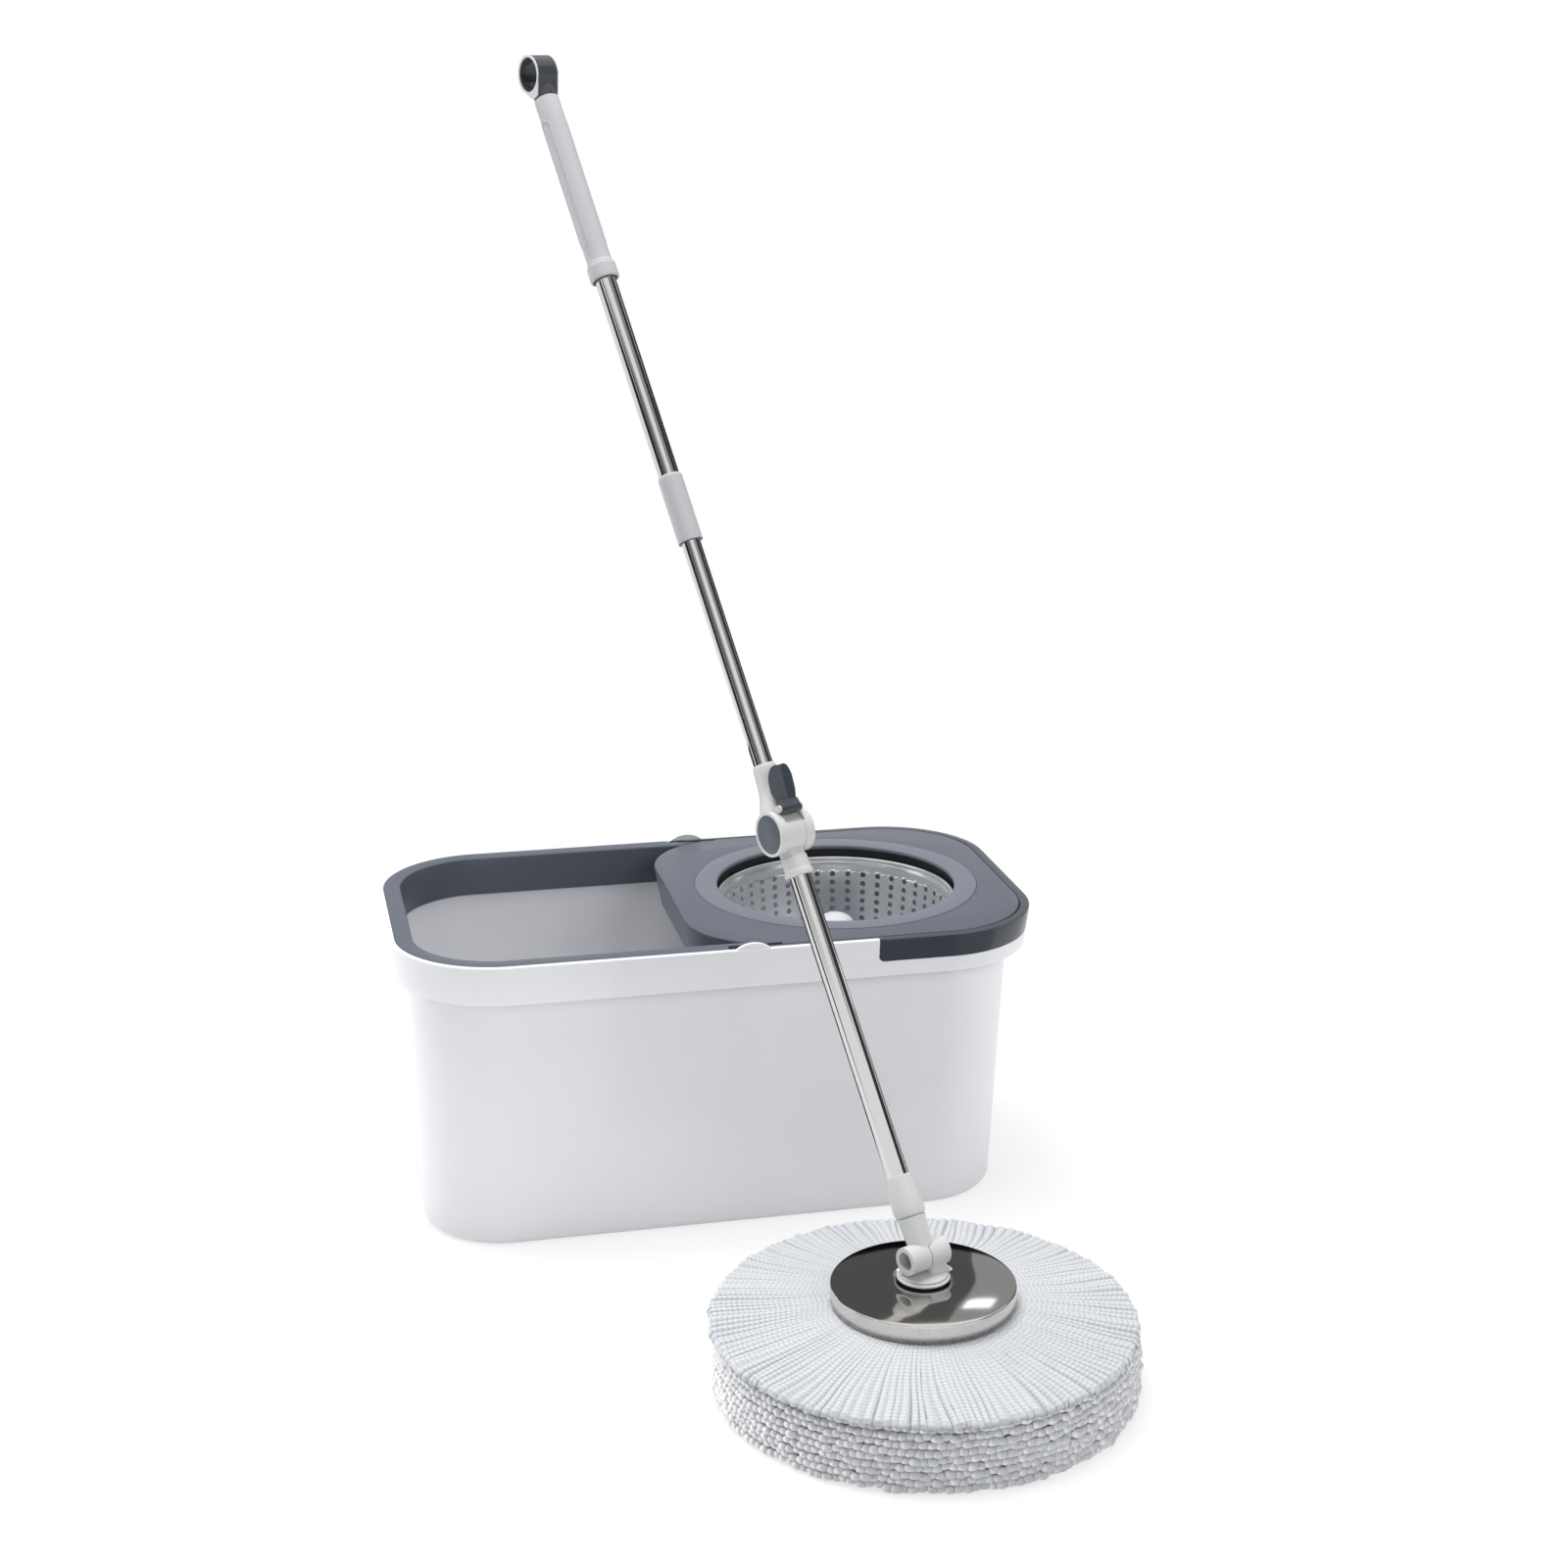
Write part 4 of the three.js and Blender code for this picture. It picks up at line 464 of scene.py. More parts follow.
# A ledge closes the notch's floor, and a small wall closes the groove where the notch starts.
ledge_inset = skirt_inset(LEDGE_FOOT) + 0.2
for name, right, top in (("ledge", BEYOND, LEDGE_TOP), ("end_wall", NOTCH_X, GROOVE_FLOOR)):
    ledge = rim_loft(name, (
        (ledge_inset, LEDGE_FOOT),
        (ledge_inset, top),
        (BODY_INSET + 1, top),
        (BODY_INSET + 1, LEDGE_FOOT),
    ))
    combine(ledge, block("part", x=(NOTCH_X - WALL, right)), "INTERSECT")
    combine(shell, ledge, "UNION")
for side in (-1, 1):
    outer, inner = side * (RIM_WIDTH / 2 - 1.0), side * (RIM_WIDTH / 2 - LIP)
    ear_z = HEIGHT - EAR_DROP
    ear = rod("ear", (PIVOT_X, outer, ear_z), (PIVOT_X, inner, ear_z), EAR_RADIUS, 96)
    combine(ear, block("above_lip", z=(HEIGHT - 2, BEYOND)), "INTERSECT")
    combine(shell, ear, "UNION")
white_plastic = plastic("white_polypropylene", rgb(229, 230, 233), roughness=0.3, grain=0.005, drift=0.02)
finished(shell, white_plastic, "bucket", "bucket_shell", edge=0.7)

# ---- Rim frame ---------------------------------------------------------------------------
# A slate-grey liner round the open left half: a flange that lies in the groove and a short
# wall that runs down inside the water compartment. It is pressed into the bucket.
PLATE = 4.0
UNDERSIDE = HEIGHT - PLATE
DECK_LEFT, DECK_CORNER, DECK_INSET = -28.0, 75.0, 9.0
SLOT_LEFT, SLOT_RIGHT, SLOT_INSET = -5.0, 40.0, 12.4
FRAME_FOOT = HEIGHT - 34.0


def deck_plan(inset, z):
    """The basket deck's outline at a height, moved in from its edge."""
    right_x, right_y = RIM_LENGTH / 2 - RIM_CORNER, RIM_WIDTH / 2 - RIM_CORNER
    left_x, left_y = DECK_LEFT + DECK_CORNER, RIM_WIDTH / 2 - DECK_INSET - DECK_CORNER
    right = (right_x, right_y, RIM_CORNER - DECK_INSET - inset)
    return plan(right, (left_x, left_y, DECK_CORNER - inset), z)


def cut_slots(piece):
    """The two slots that the handle's arms swing through."""
    edge = RIM_WIDTH / 2 - SLOT_INSET
    for reach in ((edge, BEYOND), (-BEYOND, -edge)):
        combine(piece, block("slot", (SLOT_LEFT, SLOT_RIGHT), reach, (UNDERSIDE - 2, HEIGHT + 2)))


def wall_inset(z):
    """How far in from the rim the liner's wall lies, just clear of the body."""
    return body_inset(z) + WALL + 0.3


liner = rim_loft("rim_frame_moulding", (
    (LIP + 0.3, HEIGHT - 0.5),
    (LIP + 0.8, HEIGHT),
    (wall_inset(UNDERSIDE) + 0.6, HEIGHT),
    (wall_inset(UNDERSIDE) + 1.5, HEIGHT - 0.4),
    (wall_inset(UNDERSIDE) + 2.0, HEIGHT - 1.6),
    (wall_inset(FRAME_FOOT) + 2.0, FRAME_FOOT),
    (wall_inset(FRAME_FOOT), FRAME_FOOT),
    (wall_inset(UNDERSIDE), UNDERSIDE),
    (LIP + 0.3, UNDERSIDE),
))
combine(liner, block("left_half", x=(-BEYOND, SLOT_RIGHT)), "INTERSECT")
combine(liner, lofted("deck_room", [deck_plan(-0.6, 0), deck_plan(-0.6, HEIGHT + 1)]))
cut_slots(liner)
slate_plastic = plastic("slate_polypropylene", rgb(82, 87, 97), roughness=0.34, grain=0.03, drift=0.04)
finished(liner, slate_plastic, "bucket", "rim_frame", edge=0.4)

# ---- Basket deck -------------------------------------------------------------------------
# The slate-grey plate over the right half. Its rounded left side turns down into the water
# compartment, and round its large hole a ledge carries the collar ring.
BASKET_X = 120.0
COLLAR_RADIUS, SEAT_WIDTH = 123.5, 13.0
DECK_FOOT, DECK_DRAFT, DECK_WALL = HEIGHT - 35.0, 6.0, 2.6


def turned(name, profile, x=0.0, sides=128):
    """Turns a profile of (radius, height) points about an upright axis. A profile that ends
    off the axis closes on itself."""
    closed = profile[0][0] > 1e-6 or profile[-1][0] > 1e-6
    angles = [2 * pi * i / sides for i in range(sides)]
    rings = [[(x + r * cos(a), r * sin(a), z) for a in angles] for r, z in profile]
    return lofted(name, rings, looped=closed)


def plug(radius, low, high, x=0.0, sides=128):
    """A plain upright cylinder to cut or join with."""
    return turned("plug", [(0, low), (radius, low), (radius, high), (0, high)], x, sides)


deck = lofted("basket_deck_moulding", [
    deck_plan(0, UNDERSIDE),
    deck_plan(0, HEIGHT - 1.2),
    deck_plan(0.35, HEIGHT - 0.35),
    deck_plan(1.2, HEIGHT),
])
side_wall = lofted("side_wall", [
    deck_plan(0, UNDERSIDE + 1),
    deck_plan(DECK_DRAFT, DECK_FOOT),
    deck_plan(DECK_DRAFT + DECK_WALL, DECK_FOOT),
    deck_plan(DECK_WALL, UNDERSIDE + 1),
], looped=True)
frame_face = RIM_WIDTH / 2 - body_inset(DECK_FOOT) - WALL - 2.0 - 0.9
reach = block("reach", x=(-BEYOND, DECK_LEFT + DECK_CORNER), y=(-frame_face, frame_face))
combine(side_wall, reach, "INTERSECT")
combine(deck, side_wall, "UNION")
combine(deck, plug(COLLAR_RADIUS + 3, UNDERSIDE - 3, UNDERSIDE + 1, BASKET_X), "UNION")
combine(deck, plug(COLLAR_RADIUS + 0.3, UNDERSIDE - 0.3, HEIGHT + 1, BASKET_X))
combine(deck, plug(COLLAR_RADIUS - SEAT_WIDTH, 0, UNDERSIDE + 1, BASKET_X))
cut_slots(deck)
finished(deck, slate_plastic, "bucket", "basket_deck", edge=0.4)

# ---- Collar ring -------------------------------------------------------------------------
# A paler grey ring that drops into the deck's hole. Its inner skirt hides the gap between
# the deck and the spinning basket.
COLLAR_OPENING, COLLAR_WALL, COLLAR_DEPTH = 104.0, 2.4, 23.0
COLLAR_TOP = HEIGHT + 0.6
COLLAR_SKIRT = COLLAR_OPENING + 3.6
collar = turned("collar_ring_moulding", [
    (COLLAR_SKIRT - 0.6, UNDERSIDE),
    (COLLAR_RADIUS, UNDERSIDE),
    *arc(COLLAR_RADIUS - 0.8, COLLAR_TOP - 0.8, 0.8, 0, 90, 3),
    *arc(COLLAR_OPENING + 1.5, COLLAR_TOP - 1.5, 1.5, 90, 180, 5),
    (COLLAR_OPENING, UNDERSIDE + 1.7),
    (COLLAR_OPENING + 0.7, UNDERSIDE + 0.9),
    (COLLAR_SKIRT - 0.6, UNDERSIDE + 0.9),
], BASKET_X, sides=160)
pale_slate = rgb(104, 108, 118)
pale_slate_plastic = plastic("pale_slate_polypropylene", pale_slate, roughness=0.36, grain=0.03, drift=0.03)
finished(collar, pale_slate_plastic, "bucket", "collar_ring", edge=0)
skirt = turned("collar_skirt", [
    (COLLAR_SKIRT, HEIGHT - COLLAR_DEPTH),
    (COLLAR_SKIRT + COLLAR_WALL, HEIGHT - COLLAR_DEPTH),
    (COLLAR_SKIRT + COLLAR_WALL, UNDERSIDE - 0.05),
    (COLLAR_SKIRT, UNDERSIDE - 0.05),
], BASKET_X, sides=160)
# The same plastic, given darker, because it lies in the ring's shade.
shaded_slate = rgb(34, 36, 41)
shade_plastic = plastic("shaded_slate_polypropylene", shaded_slate, roughness=0.5, grain=0.02, drift=0.03)
finished(skirt, shade_plastic, "bucket", "collar_ring", edge=0.3)

# ---- Pedestal, spindle and washer --------------------------------------------------------
# A grey ribbed post stands on the bucket's floor and holds the steel pin that the basket
# turns on, with a washer under the hub. Only its foot shows, under the deck.


def dressed(material, *names):
    """Gives CAD pieces that stay their material."""
    for node in names:
        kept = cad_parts[node]
        kept.data.materials.clear()
        kept.data.materials.append(material)


def steel(name, colour, roughness, brush=(1, 1, 1), streak=0.05, dent=0.02, polish=1.0):
    """A bare steel, rolled or turned: fine streaks run along the axis that brush squeezes.
    With a polish below one, part of the light is scattered."""
    material, tree, shader, place = new_material(name)
    shader.inputs["Metallic"].default_value = polish
    squeeze = added(tree, "ShaderNodeMapping", {"Vector": place, "Scale": brush})
    streaks = noise(tree, squeeze.outputs["Vector"], scale=420.0, detail=4.0)
    varied(tree, shader, streaks, colour, darker=streak, roughness=roughness, spread=0.03)
    if dent:
        bumped(tree, shader, streaks, strength=dent, distance=0.0002)
    return material


dressed(slate_plastic, "pedestal")
pin_steel = steel("turned_pin_steel", rgb(205, 204, 202), 0.2, brush=(1, 1, 0.05))
dressed(pin_steel, "spindle", "thrust_washer", "tilt_pin", "fold_pin", "lever_pin")
dressed(steel("sintered_bronze", rgb(176, 141, 87), 0.45), "hub_bush")

# ---- Spin basket -------------------------------------------------------------------------
# Pressed from stainless sheet with a rolled rim. Upright rows of round holes are punched
# through its wall. The sheet is laid out flat, tile by tile, and then bent round.
BASKET_RADIUS, BASKET_TAPER, BASKET_ROUND, BASKET_FLARE = 100.5, 6.0, 12.0, 3.2
BASKET_TOP = HEIGHT - 10.0
BASKET_FLOOR = BASKET_TOP - 88.0
BEAD, BEAD_Z = 1.6, BASKET_TOP - 1.6
GAUGE = 0.8
COLUMNS, ROWS = 44, 8
HOLE_PITCH, HOLE_RADIUS, TOP_MARGIN = 8.1, 2.5, 8.0
WALL_TOP = BEAD_Z - BEAD
WALL_FOOT = BASKET_FLOOR + BASKET_ROUND
HOLES_TOP = WALL_TOP - TOP_MARGIN


def wall_radius(z):
    """The basket wall's radius at a height."""
    return BASKET_RADIUS - BASKET_TAPER * (WALL_TOP - z) / (WALL_TOP - WALL_FOOT)


class Reckoned:
    """A number in a node tree that can be reckoned with: each sign adds a maths node."""

    def __init__(self, tree, socket):
        self.tree = tree
        self.socket = socket

    def by(self, how, *others):
        """The result of one kind of maths node on this number."""
        return reckon(self.tree, how, self, *others)

    def __add__(self, other):
        return self.by("ADD", other)

    def __sub__(self, other):
        return self.by("SUBTRACT", other)

    def __rsub__(self, other):
        return reckon(self.tree, "SUBTRACT", other, self)

    def __mul__(self, other):
        return self.by("MULTIPLY", other)

    def __truediv__(self, other):
        return self.by("DIVIDE", other)


def reckon(tree, how, *values):
    """A maths node on sockets or numbers."""
    node = added(tree, "ShaderNodeMath", dict(enumerate(values)), operation=how)
    return Reckoned(tree, node.outputs[0])


def parts_of(tree, whole):
    """The X, Y and Z of a vector, to reckon with."""
    split = added(tree, "ShaderNodeSeparateXYZ", {0: whole})
    return [Reckoned(tree, socket) for socket in split.outputs]


def points_of(tree):
    """The X, Y and Z of each point of the geometry."""
    return parts_of(tree, added(tree, "GeometryNodeInputPosition").outputs[0])


def vector(tree, x, y, z=0.0):
    """A vector from three numbers or sockets."""
    return added(tree, "ShaderNodeCombineXYZ", {0: x, 1: y, 2: z}).outputs[0]


def round_axis(tree, radius, turn, height, unit=1.0):
    """A place by its distance from Z, its turn round Z and its height."""
    x = radius * turn.by("COSINE") * unit
    y = radius * turn.by("SINE") * unit
    return vector(tree, x, y, height * unit)


def node_tree(name, *inputs):
    """An empty geometry tree with named inputs, each (name, kind, value)."""
    tree = bpy.data.node_groups.new(name, "GeometryNodeTree")
    tree.is_modifier = True
    for title, kind, value in inputs:
        item = tree.interface.new_socket(title, in_out="INPUT", socket_type=kind)
        item.default_value = value
    tree.interface.new_socket("Geometry", in_out="OUTPUT", socket_type="NodeSocketGeometry")
    sockets = added(tree, "NodeGroupInput").outputs
    given = {title: Reckoned(tree, sockets[title]) for title, kind, value in inputs}
    return tree, given


def grown(name, tree, geometry, material):
    """Ends a tree in plain geometry with its material, and returns the mesh that it makes."""
    plain = added(tree, "GeometryNodeRealizeInstances", {"Geometry": geometry})
    painted = added(tree, "GeometryNodeSetMaterial", {
        "Geometry": plain.outputs["Geometry"],
        "Material": material,
    })
    added(tree, "NodeGroupOutput", {"Geometry": painted.outputs["Geometry"]})
    carrier = bpy.data.objects.new(name, bpy.data.meshes.new(name))
    scene.collection.objects.link(carrier)
    carrier.modifiers.new("grow", "NODES").node_group = tree
    return applied(carrier)


def holed_sheet():
    """A flat sheet of tiles, each with a round hole, bent round Z."""
    tree, given = node_tree(
        "punched_wall",
        ("Columns", "NodeSocketInt", COLUMNS),
        ("Rows", "NodeSocketInt", ROWS),
        ("Hole Radius", "NodeSocketFloat", HOLE_RADIUS * MM),
        ("Tile Width", "NodeSocketFloat", 2 * pi * (BASKET_RADIUS - 3) / COLUMNS * MM),
        ("Tile Height", "NodeSocketFloat", HOLE_PITCH * MM),
        ("Top", "NodeSocketFloat", HOLES_TOP * MM),
        ("Top Radius", "NodeSocketFloat", wall_radius(HOLES_TOP) * MM),
        ("Taper", "NodeSocketFloat", BASKET_TAPER / (WALL_TOP - WALL_FOOT)),
    )
    circle = added(tree, "GeometryNodeMeshCircle", {"Vertices": 16, "Radius": given["Hole Radius"]})
    rim = added(tree, "GeometryNodeExtrudeMesh", {
        "Mesh": circle.outputs["Mesh"],
        "Offset Scale": 0.0,
    }, mode="EDGES")
    # The outer ring goes out to the tile's edge, along the line from the hole's centre.
    x, y = points_of(tree)[:2]
    far_x = x.by("ABSOLUTE") / given["Hole Radius"]
    far_y = y.by("ABSOLUTE") / given["Hole Radius"]
    most = far_x.by("MAXIMUM", far_y)
    half_wide, half_tall = given["Tile Width"] * 0.5, given["Tile Height"] * 0.5
    corner_x = x / given["Hole Radius"] / most * half_wide
    corner_y = y / given["Hole Radius"] / most * half_tall
    squared = added(tree, "GeometryNodeSetPosition", {
        "Geometry": rim.outputs["Mesh"],
        "Selection": rim.outputs["Top"],
        "Position": vector(tree, corner_x, corner_y),
    })
    # One tile for every place in the flat layout.
    tall = given["Tile Height"] * (given["Rows"] - 1.0)
    grid = added(tree, "GeometryNodeMeshGrid", {
        "Vertices X": given["Columns"],
        "Vertices Y": given["Rows"],
        "Size X": given["Tile Width"] * (given["Columns"] - 1.0),
        "Size Y": tall,
    })
    tiles = added(tree, "GeometryNodeInstanceOnPoints", {
        "Points": grid.outputs["Mesh"],
        "Instance": squared.outputs["Geometry"],
    })
    plain = added(tree, "GeometryNodeRealizeInstances", {"Geometry": tiles.outputs["Instances"]})
    # Bend the layout round the basket's axis, wider towards the top.
    x, y = points_of(tree)[:2]
    turn = x * (2 * pi) / (given["Tile Width"] * given["Columns"])
    height = y + given["Top"] - tall * 0.5 - half_tall
    radius = given["Top Radius"] - (given["Top"] - height) * given["Taper"]
    wall = added(tree, "GeometryNodeSetPosition", {
        "Geometry": plain.outputs["Geometry"],
        "Position": round_axis(tree, radius, turn, height),
    })
    weld = added(tree, "GeometryNodeMergeByDistance", {
        "Geometry": wall.outputs["Geometry"],
        "Distance": 0.00005,
    })
    return grown("spin_basket_pressing", tree, weld.outputs["Geometry"], basket_steel)


basket_steel = steel(
    "pressed_stainless", rgb(226, 228, 231), 0.22,
    brush=(0.1, 0.1, 0.1), streak=0.02, dent=0.0, polish=0.72,
)
basket = holed_sheet()
# The plain bands above and below the holes, the rounded foot, the floor and the rolled rim.
work = bmesh.new()
work.from_mesh(basket.data)


def band(profile):
    """A turned band whose rings have the wall's own edge points."""
    rings = []
    for r, z in profile:
        ring = []
        for column in range(COLUMNS):
            for share in (-0.5, -0.25, 0.0, 0.25):
                angle = 2 * pi * (column - (COLUMNS - 1) / 2 + share) / COLUMNS
                ring.append(work.verts.new((r * MM * cos(angle), r * MM * sin(angle), z * MM)))
        rings.append(ring)
    for low, high in zip(rings, rings[1:]):
        for i in range(len(low)):
            k = (i + 1) % len(low)
            work.faces.new((low[i], low[k], high[k], high[i]))


bead = arc(BASKET_RADIUS + BASKET_FLARE - GAUGE / 2, BEAD_Z, BEAD, -50, 205, 12)
band([
    *((wall_radius(z), z) for z in (HOLES_TOP, WALL_TOP - 4, WALL_TOP - 2.4)),
    (BASKET_RADIUS + 0.9, WALL_TOP - 0.9),
    (BASKET_RADIUS + 1.3, WALL_TOP + 0.3),
    *bead[::-1][1:],
])
holes_foot = HOLES_TOP - ROWS * HOLE_PITCH
band([
    (wall_radius(holes_foot), holes_foot),
    *arc(wall_radius(WALL_FOOT) - BASKET_ROUND, WALL_FOOT, BASKET_ROUND, 0, -90, 8),
    *((r, BASKET_FLOOR) for r in (60, 44, 22.2)),
])
bmesh.ops.remove_doubles(work, verts=work.verts, dist=0.00006)
bmesh.ops.recalc_face_normals(work, faces=work.faces)
for vertex in work.verts:
    vertex.co.x += BASKET_X * MM
work.to_mesh(basket.data)
work.free()
thick = basket.modifiers.new("gauge", "SOLIDIFY")
thick.thickness = GAUGE * MM
thick.offset = -1
applied(basket)
basket.data.shade_smooth()
basket.data.set_sharp_from_angle(angle=radians(32))
# The punched wall takes the plain cone's own normals, so that it mirrors without ripples.
normals = [(0.0, 0.0, 0.0)] * len(basket.data.loops)
for face in basket.data.polygons:
    for corner in face.loop_indices:
        place = basket.data.vertices[basket.data.loops[corner].vertex_index].co
        outward = Vector((place.x - BASKET_X * MM, place.y, 0)).normalized()
        outward.z = -BASKET_TAPER / (WALL_TOP - WALL_FOOT)
        outward.normalize()
        facing_out = face.normal.dot(outward)
        if WALL_FOOT * MM <= place.z <= (WALL_TOP - 2.5) * MM and abs(facing_out) > 0.9:
            normals[corner] = tuple(outward if facing_out > 0 else -outward)
basket.data.normals_split_custom_set(normals)
basket.data.materials.clear()
basket.data.materials.append(basket_steel)
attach(basket, "basket")
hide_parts("spin_basket")

# ---- Basket hub and dome -----------------------------------------------------------------
# A plastic bell is clamped to the basket's floor and carries the bush. A white dome is
# snapped into its top, where the mop's cover is centred when it is spun.
HUB_TOP = BASKET_FLOOR + 58.0
HUB_BORE = 6.28
FLANGE_Z, FLANGE_THICK = BASKET_FLOOR + 1.3, 3
DOME_RADIUS, DOME_RISE = 17, 10.7
bell_foot = FLANGE_Z + FLANGE_THICK
bell = [
    (DOME_RADIUS + 12 * (1 - sin(pi / 2 * i / 14)), bell_foot + (HUB_TOP - bell_foot) * i / 14)
    for i in range(15)
]
hub = turned("basket_hub_moulding", [
    (HUB_BORE, BASKET_FLOOR - 15),
    (19.4, BASKET_FLOOR - 15),
    (21.4, BASKET_FLOOR - 13),
    (21.4, FLANGE_Z),
    (34, FLANGE_Z),
    (34, bell_foot),
    *bell,
    (HUB_BORE, HUB_TOP),
], BASKET_X, sides=72)
finished(hub, pale_slate_plastic, "basket", "basket_hub", edge=0.6)
crown = [
    (DOME_RADIUS * cos(pi / 2 * i / 12), HUB_TOP + 0.3 + DOME_RISE * sin(pi / 2 * i / 12))
    for i in range(12)
]
dome = turned("hub_dome_cap", [
    (0, HUB_TOP - 5),
    (HUB_BORE - 0.3, HUB_TOP - 5),
    (HUB_BORE - 0.3, HUB_TOP + 0.3),
    *crown,
    (0, HUB_TOP + 11),
], BASKET_X, sides=72)
dome_plastic = plastic("milky_polypropylene", rgb(196, 198, 200), roughness=0.22, grain=0.005, drift=0.03)
finished(dome, dome_plastic, "basket", "hub_dome", edge=0.4)

# ---- Carry handle ------------------------------------------------------------------------
# A glossy dark-grey bail. Its arms lie in the groove beside the deck, and its deeper
# U-section grip closes the notch round the bucket's right end, flush with the skirt.
GRIP_WIDTH, GRIP_WALL, ARM_HEIGHT = 8.4, 2.0, 12.0
GRIP_TOP_Z = HEIGHT - 0.3
GRIP_LEFT = NOTCH_X + 0.6
PIVOT_Z, EYE_RADIUS, EYE_BORE = HEIGHT - 8.0, 7.6, 3.1
under = GRIP_TOP_Z - GRIP_WALL
bail = rim_loft("carry_handle_moulding", (
    (0.12, GRIP_TOP_Z - 1.3),
    (0.5, GRIP_TOP_Z - 0.4),
    (1.4, GRIP_TOP_Z),
    (GRIP_WIDTH - 1.0, GRIP_TOP_Z),
    (GRIP_WIDTH, GRIP_TOP_Z - 1),
    (GRIP_WIDTH, NOTCH_FLOOR),
    (GRIP_WIDTH - GRIP_WALL, NOTCH_FLOOR),
    (GRIP_WIDTH - GRIP_WALL, under),
    (skirt_inset(under) + GRIP_WALL, under),
    (skirt_inset(NOTCH_FLOOR) + GRIP_WALL, NOTCH_FLOOR),
    (skirt_inset(NOTCH_FLOOR), NOTCH_FLOOR),
))
ends = rim_loft("ends", (
    (skirt_inset(GRIP_TOP_Z) + 0.5, GRIP_TOP_Z),
    (GRIP_WIDTH, GRIP_TOP_Z),
    (GRIP_WIDTH, NOTCH_FLOOR),
    (skirt_inset(NOTCH_FLOOR), NOTCH_FLOOR),
))
for part in (bail, ends):
    combine(part, across(notch_outline(GRIP_LEFT, NOTCH_FLOOR)), "INTERSECT")
combine(ends, block("end_block", x=(GRIP_LEFT, GRIP_LEFT + 2 * GRIP_WALL)), "INTERSECT")
combine(bail, ends, "UNION")
arm_x, arm_z = (PIVOT_X, GRIP_LEFT + GRIP_WALL), (GRIP_TOP_Z - ARM_HEIGHT, GRIP_TOP_Z)
for side in (-1, 1):
    low, high = sorted((side * (RIM_WIDTH / 2 - LIP - 0.6), side * (RIM_WIDTH / 2 - GRIP_WIDTH)))
    combine(bail, block("arm", arm_x, (low, high), arm_z), "UNION")
    combine(bail, rod("eye", (PIVOT_X, low, PIVOT_Z), (PIVOT_X, high, PIVOT_Z), EYE_RADIUS), "UNION")
    combine(bail, rod("bore", (PIVOT_X, low - 1, PIVOT_Z), (PIVOT_X, high + 1, PIVOT_Z), EYE_BORE))
dark_plastic = plastic("dark_grey_nylon", rgb(60, 64, 72), roughness=0.2, grain=0.008, drift=0.05)
finished(bail, dark_plastic, "handle", "carry_handle", edge=0.6)
dressed(white_plastic, "handle_pin_front", "handle_pin_back")

# ---- Yarn head ---------------------------------------------------------------------------
# Hundreds of strands of white microfibre, sewn to a ring under the head. The top layer lies
# in a flat fan over the rest, parted into bundles, and the cut ends make the side.
MOP = Matrix.Translation((85.6, -417.3, 0)) @ Matrix.Rotation(radians(24), 4, "Z")
STRANDS = 152
# Where a strand of a layer starts to round over, as a share of its length, and how far it
# then goes out; and the width and length of a cut end.
ROUNDS_FROM, ROUNDS_BY = 0.94, 4.2
END_WIDE, END_LONG = 3.2, 5.0


def placed(piece, matrix):
    """Moves a piece's mesh from a part's own millimetres to its place."""
    moved = Matrix.Scale(MM, 4) @ matrix @ Matrix.Scale(1 / MM, 4)
    piece.data.transform(moved)
    return piece


def yarn_material():
    """Braided microfibre. The attribute strand holds the place along and across a strand,
    and how deep a point lies in the folds, which sets a painted shade."""
    material, tree, shader, place = new_material("white_microfibre")
    shader.inputs["Roughness"].default_value = 0.95
    shader.inputs["Subsurface Weight"].default_value = 0.5
    shader.inputs["Subsurface Radius"].default_value = (1.0, 1.0, 1.0)
    shader.inputs["Subsurface Scale"].default_value = 0.004
    shader.inputs["Sheen Weight"].default_value = 0.2
    shader.inputs["Sheen Roughness"].default_value = 0.5
    shader.inputs["Specular IOR Level"].default_value = 0.15
    strand = added(tree, "ShaderNodeAttribute", attribute_name="strand")
    along, sideways, depth = parts_of(tree, strand.outputs["Vector"])
    # Stitches: soft lumps in a herringbone, some 4 mm apart.
    bars = (along * 0.8 + sideways.by("ABSOLUTE") * 0.9).by("SINE").by("ABSOLUTE")
    pile = Reckoned(tree, noise(tree, place, scale=1400.0, detail=3.0))
    bumped(tree, shader, bars * 0.7 + pile * 0.6, strength=0.6, distance=0.001)
    # Painted shade: white on the crests, and greyer the deeper a point lies in the folds.
    shade = added(tree, "ShaderNodeValToRGB", {"Fac": depth})
    marks = shade.color_ramp.elements
    marks[0].color = rgb(252, 252, 252)
    marks[1].color = rgb(140, 146, 156)
    marks.new(0.1).color = rgb(203, 204, 206)
    marks.new(0.5).color = rgb(186, 188, 193)
    # Painted shade: a cool grey multiplied in where the stitches' relief dips between its lumps.
    painted_stitch_shade = added(tree, "ShaderNodeMix", {
        "Factor": 1.0 - bars,
        "A": shade.outputs["Color"],
        "B": rgb(233, 236, 241),
    }, data_type="RGBA", blend_type="MULTIPLY")
    feed(tree, shader.inputs["Base Color"], painted_stitch_shade.outputs["Result"])
    return material


def chance(tree, low, high, number, seed):
    """A random value for each number."""
    node = added(tree, "FunctionNodeRandomValue", data_type="FLOAT")
    values = {"Min": low, "Max": high, "ID": number, "Seed": seed}
    for socket in node.inputs:
        if socket.enabled:
            feed(tree, socket, values[socket.name])
    return Reckoned(tree, [socket for socket in node.outputs if socket.enabled][0])


